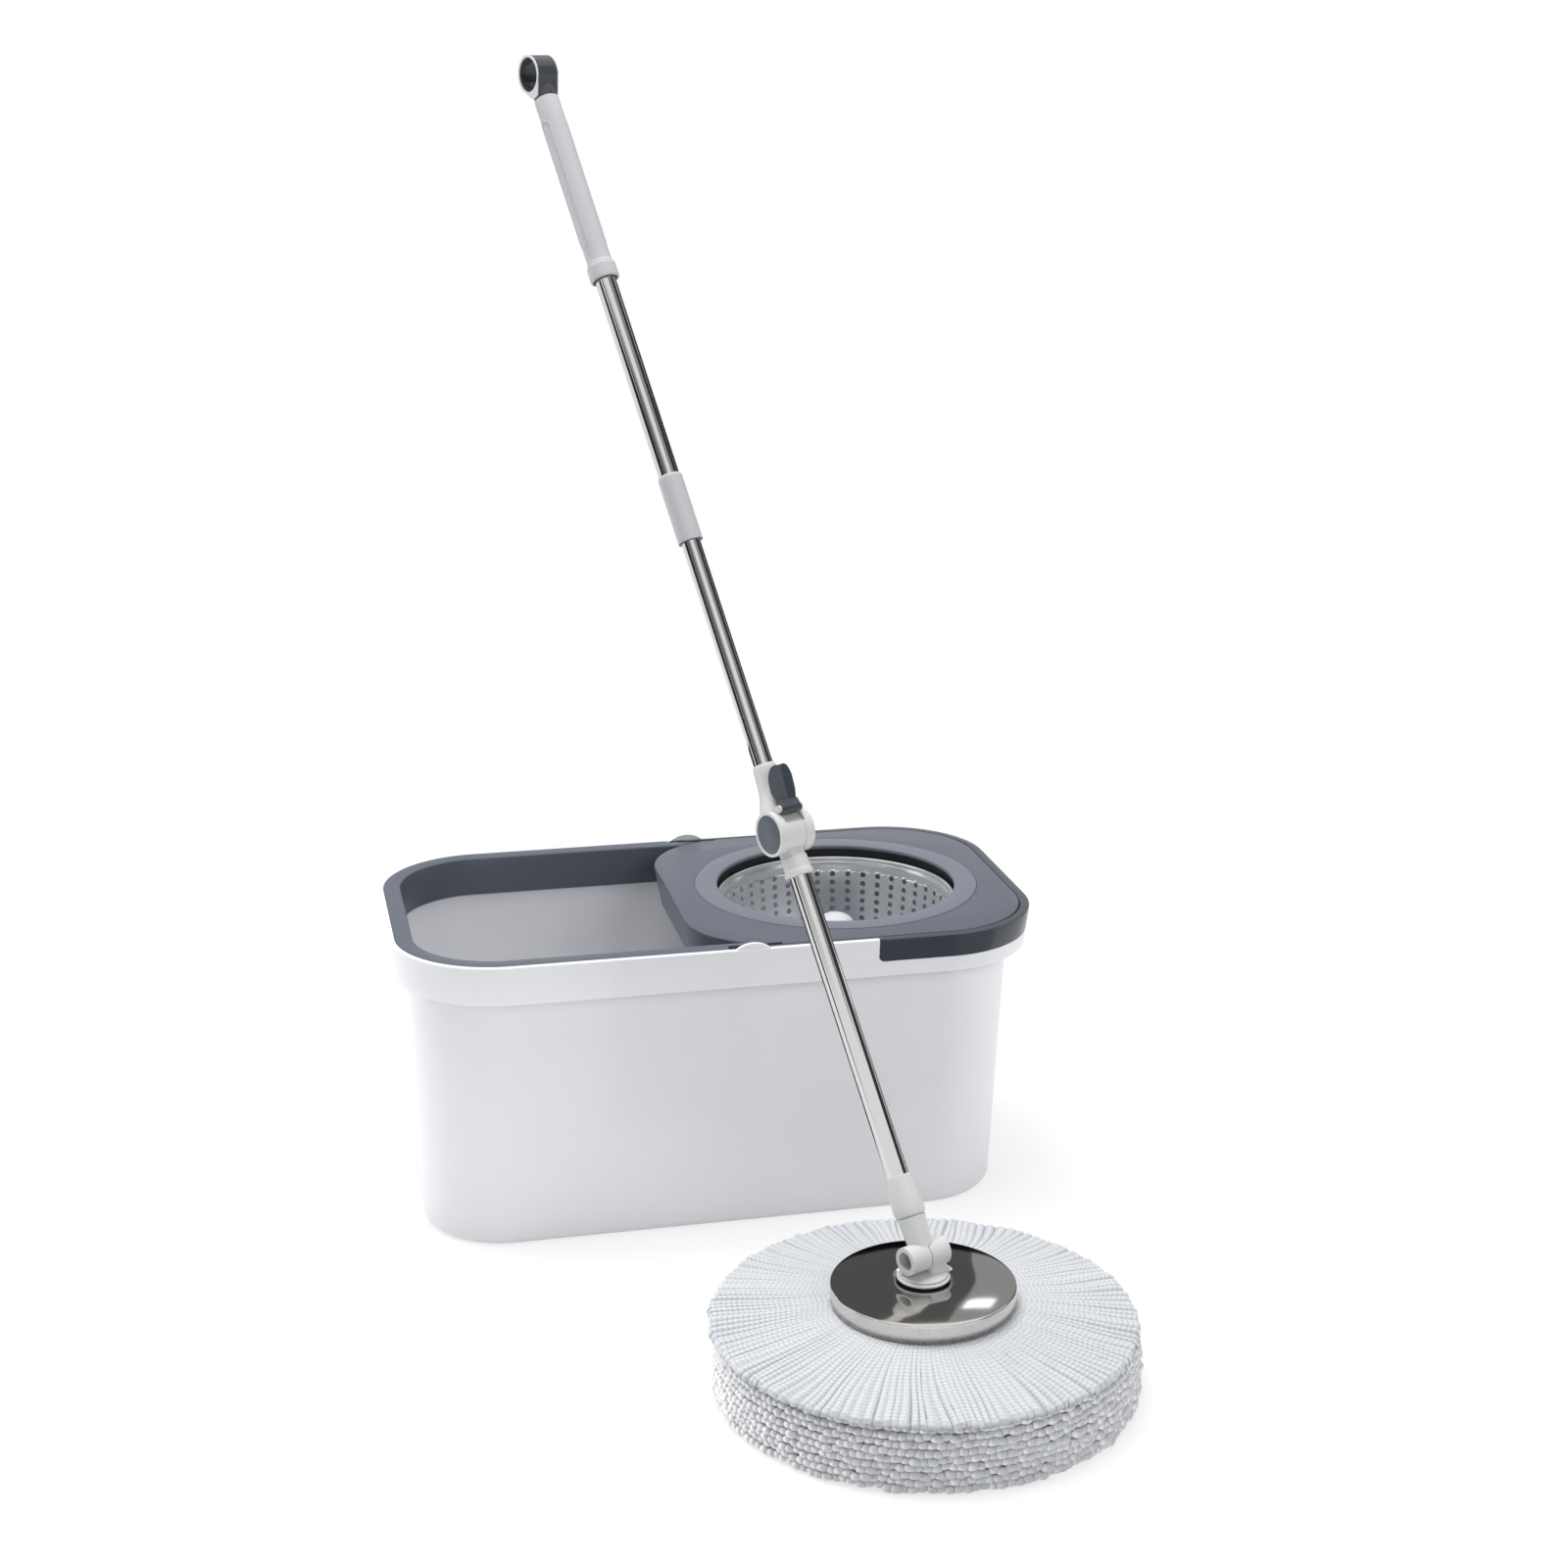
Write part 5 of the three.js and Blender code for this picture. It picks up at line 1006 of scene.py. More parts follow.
def drift(tree, angle, depth, scale, seed):
    """Smooth noise from -1 to 1 round the head that joins up with itself."""
    wave = added(tree, "ShaderNodeTexNoise", {
        "Vector": vector(tree, angle.by("COSINE"), angle.by("SINE"), depth),
        "W": seed,
        "Scale": scale,
        "Detail": 1.0,
    }, noise_dimensions="4D")
    return (Reckoned(tree, wave.outputs["Fac"]) - 0.5) * 4.0


def noted(tree, geometry, along, sideways, depth):
    """Stores the attribute strand, which the yarn's material reads."""
    keep = added(tree, "GeometryNodeStoreNamedAttribute", {
        "Geometry": geometry,
        "Name": "strand",
    }, data_type="FLOAT_VECTOR", domain="POINT")
    value = [socket for socket in keep.inputs if socket.name == "Value" and socket.enabled][0]
    feed(tree, value, vector(tree, along, sideways, depth))
    return keep.outputs["Geometry"]


def fan(name, inner, outer, groove, wander, rings, across_strand, seed, way=1.0):
    """A layer of strands from an inner (radius, height) to an outer one, each strand a soft
    ridge, with its end rounded over. Its ridges point up, or down where the way is -1."""
    tree, given = node_tree(
        name,
        ("Strands", "NodeSocketInt", STRANDS),
        ("Inner Radius", "NodeSocketFloat", inner[0]),
        ("Inner Height", "NodeSocketFloat", inner[1]),
        ("Outer Radius", "NodeSocketFloat", outer[0]),
        ("Outer Height", "NodeSocketFloat", outer[1]),
        ("Groove", "NodeSocketFloat", groove),
        ("Wander", "NodeSocketFloat", wander),
        ("Seed", "NodeSocketInt", seed),
    )
    grid = added(tree, "GeometryNodeMeshGrid", {
        "Vertices X": STRANDS * across_strand + 1,
        "Vertices Y": rings,
    })
    x, y = points_of(tree)[:2]
    u = (x + 0.5) * given["Strands"]
    s = y + 0.5
    strand = (u + 0.001).by("FLOOR")
    w = (u - strand) * 2.0 - 1.0
    number = strand.by("FLOORED_MODULO", given["Strands"])
    middle = (number + 0.5) * (2 * pi / STRANDS)

    def by_strand(low, high, draw):
        """A value by chance for each strand."""
        return chance(tree, low, high, number, given["Seed"] + draw)

    def by_bundle(scale, draw, depth=0.0):
        """A value that changes slowly from strand to strand."""
        return drift(tree, middle, depth, scale, given["Seed"] + draw)

    # Bundles lean together, and each bundle bends a little as it goes out.
    bend = by_bundle(scale=2.6, draw=0, depth=s * 0.35) * (given["Wander"] * s)
    fine = by_bundle(scale=9.0, draw=5) * (given["Wander"] * (s * 0.45))
    own = by_strand(-0.006, 0.006, draw=1) * s
    turn = u * (2 * pi / STRANDS) + (bend + fine + own)
    # The end of a strand is rounded over.
    over = (s - ROUNDS_FROM).by("MAXIMUM", 0.0) * (pi / 2 / (1 - ROUNDS_FROM))
    flat = s.by("MINIMUM", ROUNDS_FROM) / ROUNDS_FROM
    uneven = by_strand(-0.5, 0.5, draw=2) + by_bundle(scale=7.0, draw=3) * 1.6
    length = given["Outer Radius"] - ROUNDS_BY + uneven
    out = flat * (length - given["Inner Radius"])
    radius = given["Inner Radius"] + out + over.by("SINE") * ROUNDS_BY
    fall = flat.by("POWER", 0.85) * (given["Outer Height"] - given["Inner Height"])
    height = given["Inner Height"] + fall - (1.0 - over.by("COSINE")) * (ROUNDS_BY * way)
    # A ridge with a flat top, parted from the next by a crease of its own depth.
    parting = by_strand(0.25, 1.0, draw=4).by("POWER", 2.5) * given["Groove"] + 0.9
    side = w.by("ABSOLUTE")
    widening = s * 0.88 + 0.12
    easing = 1.0 - over.by("SINE") * 0.45
    crease = side.by("POWER", 3.0) * parting * easing
    crown = side.by("POWER", 2.0) * 0.5
    slope = w * (by_strand(-0.22, 0.22, draw=8) + by_bundle(scale=3.0, draw=9) * 0.25)
    lift = by_strand(-0.5, 0.5, draw=6) + slope
    sink = (crease + crown - lift) * widening
    height = height - sink * way
    # Each strand's stitches start at a place of their own.
    along = radius + (by_strand(-1.0, 1.0, draw=10) + by_bundle(scale=3.0, draw=11) * 5.0)
    # How deep a point lies, which the yarn's material paints as shade: greyest at each strand's crease, and
    # more so where the parting is deep.
    depth = side.by("POWER", 6.0) * (parting * 0.32 * widening) + 0.1
    moved = added(tree, "GeometryNodeSetPosition", {
        "Geometry": noted(tree, grid.outputs["Mesh"], along, w, depth.by("MINIMUM", 1.0)),
        "Position": round_axis(tree, radius, turn, height, MM),
    })
    closed = added(tree, "GeometryNodeMergeByDistance", {
        "Geometry": moved.outputs["Geometry"],
        "Distance": 0.00002,
    })
    return grown(name, tree, closed.outputs["Geometry"], yarn_white)


def cut_ends(name, count, radius, low, high, rows, seed):
    """Rows of rounded strand ends round the side, each row set between the ends above it."""
    tree, given = node_tree(
        name,
        ("Strands", "NodeSocketInt", count),
        ("Rows", "NodeSocketInt", rows),
        ("Radius", "NodeSocketFloat", radius),
        ("Low", "NodeSocketFloat", low),
        ("High", "NodeSocketFloat", high),
        ("Seed", "NodeSocketInt", seed),
    )
    grid = added(tree, "GeometryNodeMeshGrid", {
        "Vertices X": given["Strands"],
        "Vertices Y": given["Rows"],
    })
    number = added(tree, "GeometryNodeInputIndex").outputs[0]

    def by_end(low, high, draw):
        """A value by chance for each end."""
        return chance(tree, low, high, number, given["Seed"] + draw)

    x, y = points_of(tree)[:2]
    column = ((x + 0.5) * (given["Strands"] - 1.0)).by("ROUND")
    share = y + 0.5
    row = (share * (given["Rows"] - 1.0)).by("ROUND")
    stagger = row.by("FLOORED_MODULO", 2.0) * 0.5
    turn = (column + stagger + by_end(-0.1, 0.1, draw=0)) * (2 * pi / count)
    # The lower rows hang out more unevenly, and the top rows lie further in.
    hang = 1.0 - share
    spread = drift(tree, turn, share * 0.3, scale=8.0, seed=given["Seed"] + 1) * (hang * 1.4 + 0.5)
    out = given["Radius"] + spread + (by_end(-0.5, 0.5, draw=2) - share.by("POWER", 3.0) * 4.0)
    wave = drift(tree, turn, share * 0.5, scale=4.0, seed=given["Seed"] + 3) * 0.8
    height = given["Low"] + share * (given["High"] - given["Low"]) + wave + by_end(-0.4, 0.4, draw=4)
    bent = added(tree, "GeometryNodeSetPosition", {
        "Geometry": grid.outputs["Mesh"],
        "Position": round_axis(tree, out, turn, height.by("MAXIMUM", given["Low"]), MM),
    })
    # One end: a long rounded stub that points along X, with its tip at nought.
    stub = added(tree, "GeometryNodeMeshUVSphere", {"Segments": 8, "Rings": 8, "Radius": 1.0})
    shape = added(tree, "GeometryNodeTransform", {
        "Geometry": stub.outputs["Mesh"],
        "Rotation": (0, pi / 2, 0),
        "Scale": (END_WIDE * MM, END_WIDE * MM, END_LONG * MM),
        "Translation": (-END_LONG * MM, 0, 0),
    })
    x, y = points_of(tree)[:2]
    back = x * (-1 / MM)
    # Painted shade: an end turns greyer the further back from its tip a point lies.
    depth = ((back - 2.2).by("MAXIMUM", 0.0) * 0.06).by("MINIMUM", 1.0)
    one = noted(tree, shape.outputs["Geometry"], back * 0.1 + 2.0, y * (0.4 / 3.1 / MM), depth)
    ends = added(tree, "GeometryNodeInstanceOnPoints", {
        "Points": bent.outputs["Geometry"],
        "Instance": one,
        "Rotation": vector(tree, 0.0, by_end(-0.15, 0.2, draw=5), turn + by_end(-0.16, 0.16, draw=6)),
        "Scale": by_end(0.93, 1.1, draw=7),
    })
    return grown(name, tree, ends.outputs["Instances"], yarn_white)


yarn_white = yarn_material()
top_layer = fan(
    "yarn_top_layer", inner=(66.5, 65.3), outer=(159.5, 55.2),
    groove=2.6, wander=0.05, rings=60, across_strand=8, seed=11,
)
side_rows = cut_ends("yarn_cut_ends", count=162, radius=158.6, low=4.4, high=48.0, rows=9, seed=21)
under_layer = fan(
    "yarn_under_layer", inner=(50.0, 6.0), outer=(156.0, 2.6),
    groove=1.2, wander=0.04, rings=14, across_strand=6, seed=31, way=-1.0,
)
core = turned("yarn_core", [(152, 4), (153, 12), (153, 44), (150, 50)], sides=STRANDS)
for strands in (top_layer, side_rows, under_layer, core):
    placed(strands, MOP)
    strands.data.materials.clear()
    strands.data.materials.append(yarn_white)
    strands.data.shade_smooth()
    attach(strands, "mop_head")
    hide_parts("yarn_head")
dressed(white_plastic, "yarn_ring")

# ---- Steel cover -------------------------------------------------------------------------
# A polished stainless dish with a turned-down band, pressed from thin sheet. It is screwed
# down over the head's white plate, which is moulded to the same line.
COVER_RADIUS, COVER_RIM_Z, COVER_GAUGE = 69.0, 78.4, 0.7
CROWN_Z = COVER_RIM_Z + 7.0
RECESS_RADIUS, RECESS_Z = 29.0, CROWN_Z - 2.4
COVER_HOLE, BAND_FOOT = 14.5, COVER_RIM_Z - 12.4
SCREW_BORE = 2.7


def smooth(t):
    """A step from 0 to 1 that starts and ends level."""
    return t * t * (3 - 2 * t)


def dish_line():
    """The cover's outer line, from its hole out over the crown and down the band."""
    line = [(COVER_HOLE, RECESS_Z), (RECESS_RADIUS - 1, RECESS_Z)]
    for i in range(1, 9):
        t = i / 8
        line.append((RECESS_RADIUS - 1 + 7 * t, RECESS_Z + 0.35 * smooth(t)))
    for i in range(1, 15):
        t = i / 14
        out = RECESS_RADIUS + 6 + t * (COVER_RADIUS - RECESS_RADIUS - 7.4)
        line.append((out, RECESS_Z + 0.35 - 3.9 * t ** 1.7))
    line += arc(COVER_RADIUS - 1.1, COVER_RIM_Z - 0.2, 1.1, 74, 0, 6)
    line += [(COVER_RADIUS, COVER_RIM_Z - 6), (COVER_RADIUS, BAND_FOOT)]
    return line


def at_open_edge(vertex):
    """Whether a point of the cover lies at its hole or at the foot of its band."""
    x, y, z = vertex.co
    return abs(hypot(x, y) - COVER_HOLE * MM) < 1e-5 or z < (BAND_FOOT + 0.1) * MM


cover = turned("steel_cover_pressing", [*reversed(dish_line()), (COVER_HOLE, RECESS_Z)], sides=160)
work = bmesh.new()
work.from_mesh(cover.data)
closing = [f for f in work.faces if len(f.verts) == 4 and all(at_open_edge(v) for v in f.verts)]
bmesh.ops.delete(work, geom=closing, context="FACES")
bmesh.ops.recalc_face_normals(work, faces=work.faces)
work.to_mesh(cover.data)
work.free()
thick = cover.modifiers.new("gauge", "SOLIDIFY")
thick.thickness = COVER_GAUGE * MM
thick.offset = -1
placed(cover, MOP)
cover_steel = steel(
    "polished_cover_steel", rgb(216, 213, 209), 0.1,
    brush=(0.1, 0.1, 0.1), streak=0.02, dent=0.0,
)
cover.data.materials.append(cover_steel)
cover.data.shade_smooth()
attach(cover, "mop_head")
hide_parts("steel_cover")

plate = turned("head_plate_moulding", [
    (SCREW_BORE, 61.6),
    (66.8, 61.6),
    (66.8, 76.4),
    *((r, z - 1.1) for r, z in reversed(dish_line()) if r < 65.5),
    (14.5, 73.0),
    (SCREW_BORE, 73.0),
], sides=96)
finished(placed(plate, MOP), white_plastic, "mop_head", "head_plate", edge=0.4)

# ---- Head joint --------------------------------------------------------------------------
# Light-grey nylon. The yoke is screwed down through the cover and carries the right half of
# the tilt barrel. The pole's own knuckle is the left half, and goes on as a cone under a
# ferrule that holds the lower tube.
PIN_Z = 100.8
POLE = MOP @ Matrix.Translation((0, 0, PIN_Z)) @ Matrix.Rotation(radians(-31), 4, "X")
BARREL, BARREL_HALF = 10.5, 17.8
PIN_BORE, PIN_HEAD_BORE = 4.08, 7.1
NECK_X, NECK_HALF_X, NECK_HALF_Y = 8.55, 8.25, 8.6


def bar(x0, x1, radius, y=0.0, z=0.0, sides=96):
    """A round bar along X."""
    return rod("bar", (x0, y, z), (x1, y, z), radius, sides)


def oval(half_x, half_y, z, x=0.0, y=0.0, power=2.0):
    """A ring that goes from an ellipse to a rounded box as its power grows."""
    ring = []
    for i in range(80):
        c, s = cos(2 * pi * i / 80), sin(2 * pi * i / 80)
        out_x = half_x * copysign(abs(c) ** (2 / power), c)
        out_y = half_y * copysign(abs(s) ** (2 / power), s)
        ring.append((x + out_x, y + out_y, z))
    return ring


def eased(points, steps):
    """More points on a smooth line through the ones given."""
    line, last = [], len(points) - 1
    for i in range(last):
        before, here, there, after = (points[min(max(k, 0), last)] for k in range(i - 1, i + 3))
        for t in (j / steps for j in range(steps)):
            line.append(tuple(
                0.5 * (2 * b + (c - a) * t + (2 * a - 5 * b + 4 * c - d) * t * t
                       + (3 * b - a - 3 * c + d) * t ** 3)
                for a, b, c, d in zip(before, here, there, after)
            ))
    return line + [points[-1]]


yoke = turned("yoke_moulding", [
    (0, 73.3),
    (14.2, 73.3),
    (14.2, 83.3),
    (18.6, 83.3),
    *arc(18.9, 84.4, 1.1, -80, 90, 7),
    (18.1, 85.6),
    *arc(17.2, 86.7, 1.0, -20, 80, 5),
    *eased([(16.4, 87.9), (12, 88.4), (6, 88.7)], 3),
    (0, 88.8),
], sides=96)
neck = [oval(NECK_HALF_X, NECK_HALF_Y, z, x=NECK_X, power=5) for z in (86, 96)]
combine(yoke, lofted("neck", neck), "UNION")
# The neck spreads out at its root in a hollow curve.
root = []
for share in (1, 0.75, 0.5, 0.25, 0):
    out, z = 2.2 * share, 87.6 + 3 * (1 - share) ** 2
    root.append(oval(NECK_HALF_X + out, NECK_HALF_Y + out, z, x=NECK_X + out, power=5))
combine(yoke, lofted("root", root), "UNION")
combine(yoke, bar(0.3, BARREL_HALF, BARREL, z=PIN_Z), "UNION")
combine(yoke, bar(-BARREL_HALF - 1, 0.3, BARREL + 0.35, z=PIN_Z))
combine(yoke, bar(-1, BARREL_HALF + 1, PIN_BORE, z=PIN_Z, sides=48))
combine(yoke, bar(BARREL_HALF - 7, BARREL_HALF + 1, PIN_HEAD_BORE, z=PIN_Z))
combine(yoke, plug(SCREW_BORE, 72, 82.3, sides=32))
joint_plastic = plastic("light_grey_nylon", rgb(203, 204, 203), roughness=0.34, grain=0.005, drift=0.02)
finished(placed(yoke, MOP), joint_plastic, "mop_head", "yoke", edge=0.5, segments=3)

knuckle = turned("pole_knuckle_moulding", [
    (0, 0),
    (9.2, 0),
    *eased([(9.3, 8.5), (9.7, 14), (10.4, 24), (10.75, 28.6)], 3),
    (10.6, 29.7),
    (10.2, 30),
    (7.6, 30),
    (7.6, 51.2),
    (6.8, 52),
    (0, 52),
], sides=96)
combine(knuckle, bar(-BARREL_HALF, -0.3, BARREL), "UNION")
combine(knuckle, bar(-0.3, BARREL_HALF + 1, BARREL + 0.6))
combine(knuckle, bar(-BARREL_HALF - 1, 1, PIN_BORE, sides=48))
combine(knuckle, bar(-BARREL_HALF - 1, -BARREL_HALF + 9, PIN_HEAD_BORE))
finished(placed(knuckle, POLE), joint_plastic, "lower_pole", "pole_knuckle", edge=0.5, segments=3)

ferrule = turned("ferrule_moulding", [
    (8.7, 30.3),
    (10.9, 30.3),
    *eased([
        (11.2, 30.6), (11.55, 31.6), (11.9, 34), (12.0, 37), (11.75, 42),
        (11.15, 48), (10.5, 54), (9.95, 59), (9.75, 60.4),
    ], 3),
    (9.5, 60.9),
    (9.1, 61),
    (8.7, 60.8),
], sides=96)
finished(placed(ferrule, POLE), joint_plastic, "lower_pole", "ferrule", edge=0)

# ---- Tubes -------------------------------------------------------------------------------
# Polished stainless tubes, drawn half a millimetre thick. The lower one is pressed into the
# ferrule, and the middle one slides in the upper one.
TUBE, MIDDLE_TUBE, TUBE_WALL = 8.4, 7.6, 0.5
tube_steel = steel(
    "polished_tube_steel", rgb(213, 213, 213), 0.07,
    brush=(0.05, 0.05, 0.05), streak=0.02, dent=0.0,
)
for node, radius, low, high, body in (
    ("lower_tube", TUBE, 30.6, 309.7, "lower_pole"),
    ("middle_tube", MIDDLE_TUBE, 352.6, 655.0, "middle_pole"),
    ("upper_tube", TUBE, 573.0, 947.0, "upper_pole"),
):
    tube = turned(node + "_drawn", [
        (radius - TUBE_WALL, low),
        (radius - 0.15, low),
        (radius, low + 0.15),
        (radius, high - 0.15),
        (radius - 0.15, high),
        (radius - TUBE_WALL, high),
    ])
    finished(placed(tube, POLE), tube_steel, body, node, edge=0)

# ---- Fold joint --------------------------------------------------------------------------
# A barrel across the pole. The lower sleeve's knuckle turns between the two cheeks of the
# upper sleeve, under flush slate caps, and has a slot that the lever's foot drops into.
FOLD_Z, FOLD_R, CHEEK_IN, CHEEK_OUT = 331.5, 17.2, 7.5, 15.5
CAP_SEAT, CAP_DEPTH = 14.9, 2.1
LEVER_Y, LEVER_Z, LEVER_BORE = -15.2, 346.4, 1.58
FOOT_HALF, FOOT_ROOM = 8.5, 0.25


def drawn_across(outline, half):
    """An outline of (y, z) points drawn out along X, to the same distance on both sides."""
    return lofted("drawn", [[(x, y, z) for y, z in outline] for x in (-half, half)])


def latch_slot(half):
    """The pocket round the barrel's front that the lever's foot swings in."""
    outer = arc(0, FOLD_Z, 20, 169, 118, 12)
    inner = arc(0, FOLD_Z, 14.6, 118, 169, 12)
    return drawn_across(outer + inner, half)


lower = turned("hinge_lower_moulding", [
    (0, 295.7),
    (10.4, 295.7),
    *arc(10.5, 296.6, 0.9, -80, 0, 4),
    (11.3, 299.3),
    *eased([(11.2, 299.9), (10.75, 300.5), (10.5, 301.5), (10.25, 306), (10.0, 310.6)], 3),
    (9.5, 311.3),
    (0, 311.5),
], sides=96)
combine(lower, plug(8.7, 294, 310, sides=96))
combine(lower, lofted("neck", [oval(7.2, 8.9, z, y=0.7, power=5) for z in (310.5, 326)]), "UNION")
combine(lower, bar(-7.42, 7.42, FOLD_R - 0.4, z=FOLD_Z, sides=128), "UNION")
combine(lower, bar(-9, 9, PIN_BORE, z=FOLD_Z, sides=48))
combine(lower, latch_slot(9))
finished(placed(lower, POLE), joint_plastic, "lower_pole", "hinge_lower", edge=0.12)

# Each of the shoulders' rings is a height, its halves along X and Y, and its power.
shoulders = eased([
    (334, 15.3, 15.2, 3.2),
    (340, 15.3, 13.3, 3.0),
    (346.5, 15.1, 11.6, 2.8),
    (353, 13.2, 11.1, 2.5),
    (360, 11.3, 10.6, 2.2),
    (366, 10.3, 10.1, 2.0),
    (375, 9.65, 9.65, 2.0),
    (382, 9.2, 9.2, 2.0),
], 4)
upper = lofted("hinge_upper_moulding", [
    *(oval(half_x, half_y, z, power=power) for z, half_x, half_y, power in shoulders),
    oval(8.95, 8.95, 384.2),
    oval(8.5, 8.5, 385),
])
combine(upper, bar(-CHEEK_OUT, CHEEK_OUT, FOLD_R, z=FOLD_Z, sides=128), "UNION")
for side in (-1, 1):
    near, far = sorted((side * (FOOT_HALF + FOOT_ROOM), side * (FOOT_HALF + 2.2)))
    combine(upper, bar(near, far, 2.7, y=LEVER_Y, z=LEVER_Z, sides=48), "UNION")
    combine(upper, block("web", (near, far), (LEVER_Y, -5), (LEVER_Z - 2.7, LEVER_Z + 2.7)), "UNION")
    near, far = sorted((side * (CHEEK_OUT - CAP_DEPTH), side * (CHEEK_OUT + 1)))
    combine(upper, bar(near, far, CAP_SEAT, z=FOLD_Z, sides=128))
combine(upper, bar(-CHEEK_IN, CHEEK_IN, FOLD_R + 0.3, z=FOLD_Z, sides=128))
combine(upper, plug(7.9, 352.3, 386, sides=96))
combine(upper, bar(-CHEEK_OUT, CHEEK_OUT, PIN_BORE, z=FOLD_Z, sides=48))
combine(upper, bar(-CHEEK_OUT, CHEEK_OUT, LEVER_BORE, y=LEVER_Y, z=LEVER_Z, sides=32))
combine(upper, latch_slot(FOOT_HALF + FOOT_ROOM))
finished(placed(upper, POLE), joint_plastic, "middle_pole", "hinge_upper", edge=0.3)

cap_plastic = plastic("cap_slate_nylon", rgb(86, 93, 100), roughness=0.32, grain=0.02, drift=0.03)
for side, node in ((-1, "hinge_cap_left"), (1, "hinge_cap_right")):
    cap = turned(node + "_moulding", [
        (0, 0),
        (14.5, 0),
        *arc(14.1, 1.0, 0.5, 0, 90, 4),
        (12.6, 1.5),
        (12.2, 1.32),
        (0, 1.32),
    ])
    seat = Matrix.Translation((side * (CHEEK_OUT - 1.85), 0, FOLD_Z))
    placed(cap, POLE @ seat @ Matrix.Rotation(side * pi / 2, 4, "Y"))
    finished(cap, cap_plastic, "middle_pole", node, edge=0)

# ---- Lock lever --------------------------------------------------------------------------
# A glossy dark leaf with a ridge down its middle and two lobes at its top, which stands a
# little off the sleeve. Its foot turns on a steel pin and reaches into the barrel's slot.
LEVER_THICK, LEVER_REACH = 2.6, 11.0
LEVER_FOOT, LEVER_TOP = 351.0, 379.5
LEAF_STEPS = 30


def leaf_half_width(t):
    """Half the leaf's width at a height: it widens from the foot and rounds in at the top."""
    rise = min(max((t - LEVER_Z - 3) / 12, 0), 1)
    return FOOT_HALF + (LEVER_REACH - FOOT_HALF) * smooth(rise) - 0.9 * max(0, (t - 365) / 15) ** 2


def leaf_front(x, t):
    """The leaf's front: it leans out, falls back to both sides and has a fine ridge."""
    up = t - LEVER_Z
    lean = 0.6 + 0.06 * up + 0.0021 * up * up
    ridge = 0.35 * max(0.0, 1 - abs(x) / 0.7)
    return LEVER_Y - lean + 0.11 * abs(x) + x * x / 90 - ridge


rings = []
for row in range(LEAF_STEPS + 1):
    front, back = [], []
    for column in range(LEAF_STEPS + 1):
        u = 2 * column / LEAF_STEPS - 1
        top = LEVER_TOP - 2.8 * exp(-(u / 0.17) ** 2) - 8.5 * abs(u) ** 5
        t = LEVER_FOOT + (top - LEVER_FOOT) * row / LEAF_STEPS
        x = u * leaf_half_width(t)
        thin = LEVER_THICK * (1 - 0.45 * abs(u) ** 4) * (1 - 0.5 * (row / LEAF_STEPS) ** 8)
        front.append((x, leaf_front(x, t), t))
        back.append((x, leaf_front(x, t) + thin, t))
    rings.append(front + back[::-1])
leaf = lofted("lock_lever_moulding", rings)
foot = drawn_across([
    *eased([
        (-13.2, 344.3), (-14.6, 343.0), (-16.2, 342.3), (-17.4, 342.2), (-18.4, 342.7),
        (-19.0, 343.9), (-18.8, 346.4), (-17.8, 349.3), (-16.7, 352.6),
    ], 4),
    (-13.9, 352.6),
    (-12.6, 349.5),
    (-12.1, 346.6),
], FOOT_HALF)
combine(leaf, foot, "UNION")
combine(leaf, bar(-FOOT_HALF, FOOT_HALF, 3.3, y=LEVER_Y, z=LEVER_Z, sides=48), "UNION")
combine(leaf, bar(-10, 10, LEVER_BORE, y=LEVER_Y, z=LEVER_Z, sides=32))
finished(placed(leaf, POLE), dark_plastic, "lever", "lock_lever", edge=0.4, segments=3)

# ---- Lock sleeve -------------------------------------------------------------------------
# A plain twist sleeve, moulded in a pale grey plastic, on the foot of the upper tube.
# Turned, it grips the middle tube.
grip_grey = rgb(178, 179, 182)
grip_plastic = plastic("grip_grey_polypropylene", grip_grey, roughness=0.3, grain=0.005, drift=0.02)
sleeve = turned("lock_sleeve_moulding", [
    (8.7, 569.9),
    (9.2, 569.5),
    *eased([(9.55, 569.6), (9.8, 570.4), (9.8, 590), (9.8, 615), (9.75, 621.2), (9.5, 622.8)], 3),
    (9.1, 623.7),
    (8.7, 624),
], sides=96)
finished(placed(sleeve, POLE), grip_plastic, "twist_lock", "lock_sleeve", edge=0)

# ---- Grip --------------------------------------------------------------------------------
# A long light-grey tube with a stepped collar at its foot. A long pad with round ends is
# sunk a little into each side, inside a raised line.
GRIP, GRIP_FOOT, GRIP_TOP = 9.9, 791.0, 950.0
PAD_MIDDLE, PAD_HALF, PAD_WIDE = 874.5, 50.0, 5.5


def pad_lift(y, z):
    """How far the grip's side stands out at a place, seen from the pad's middle."""
    inside = PAD_WIDE - hypot(y, max(abs(z - PAD_MIDDLE) - PAD_HALF, 0.0))
    sunk = min(max((inside - 0.1) / 0.7, 0.0), 1.0)
    return 0.34 * exp(-(inside / 0.42) ** 2) - 0.5 * smooth(sunk)


# Close rows over the pads' round ends and wide ones between them.
pad_foot = PAD_MIDDLE - PAD_HALF
rows = [pad_foot - PAD_WIDE - 1.2 + 0.3 * i for i in range(27)]
rows += [pad_foot + 2 + 12 * i for i in range(9)]
rows += [2 * PAD_MIDDLE - z for z in reversed(rows)]
rows = sorted(set(round(z, 3) for z in rows))
# Narrow columns over the pads' edges and wide ones between them.
columns = [3 * i for i in range(9)] + [27.5 + 0.9 * i for i in range(15)] + [42 + 6 * i for i in range(8)]
columns += [180 - a for a in columns] + [180 + a for a in columns] + [360 - a for a in columns]
columns = sorted(set(round(a % 360, 3) for a in columns))
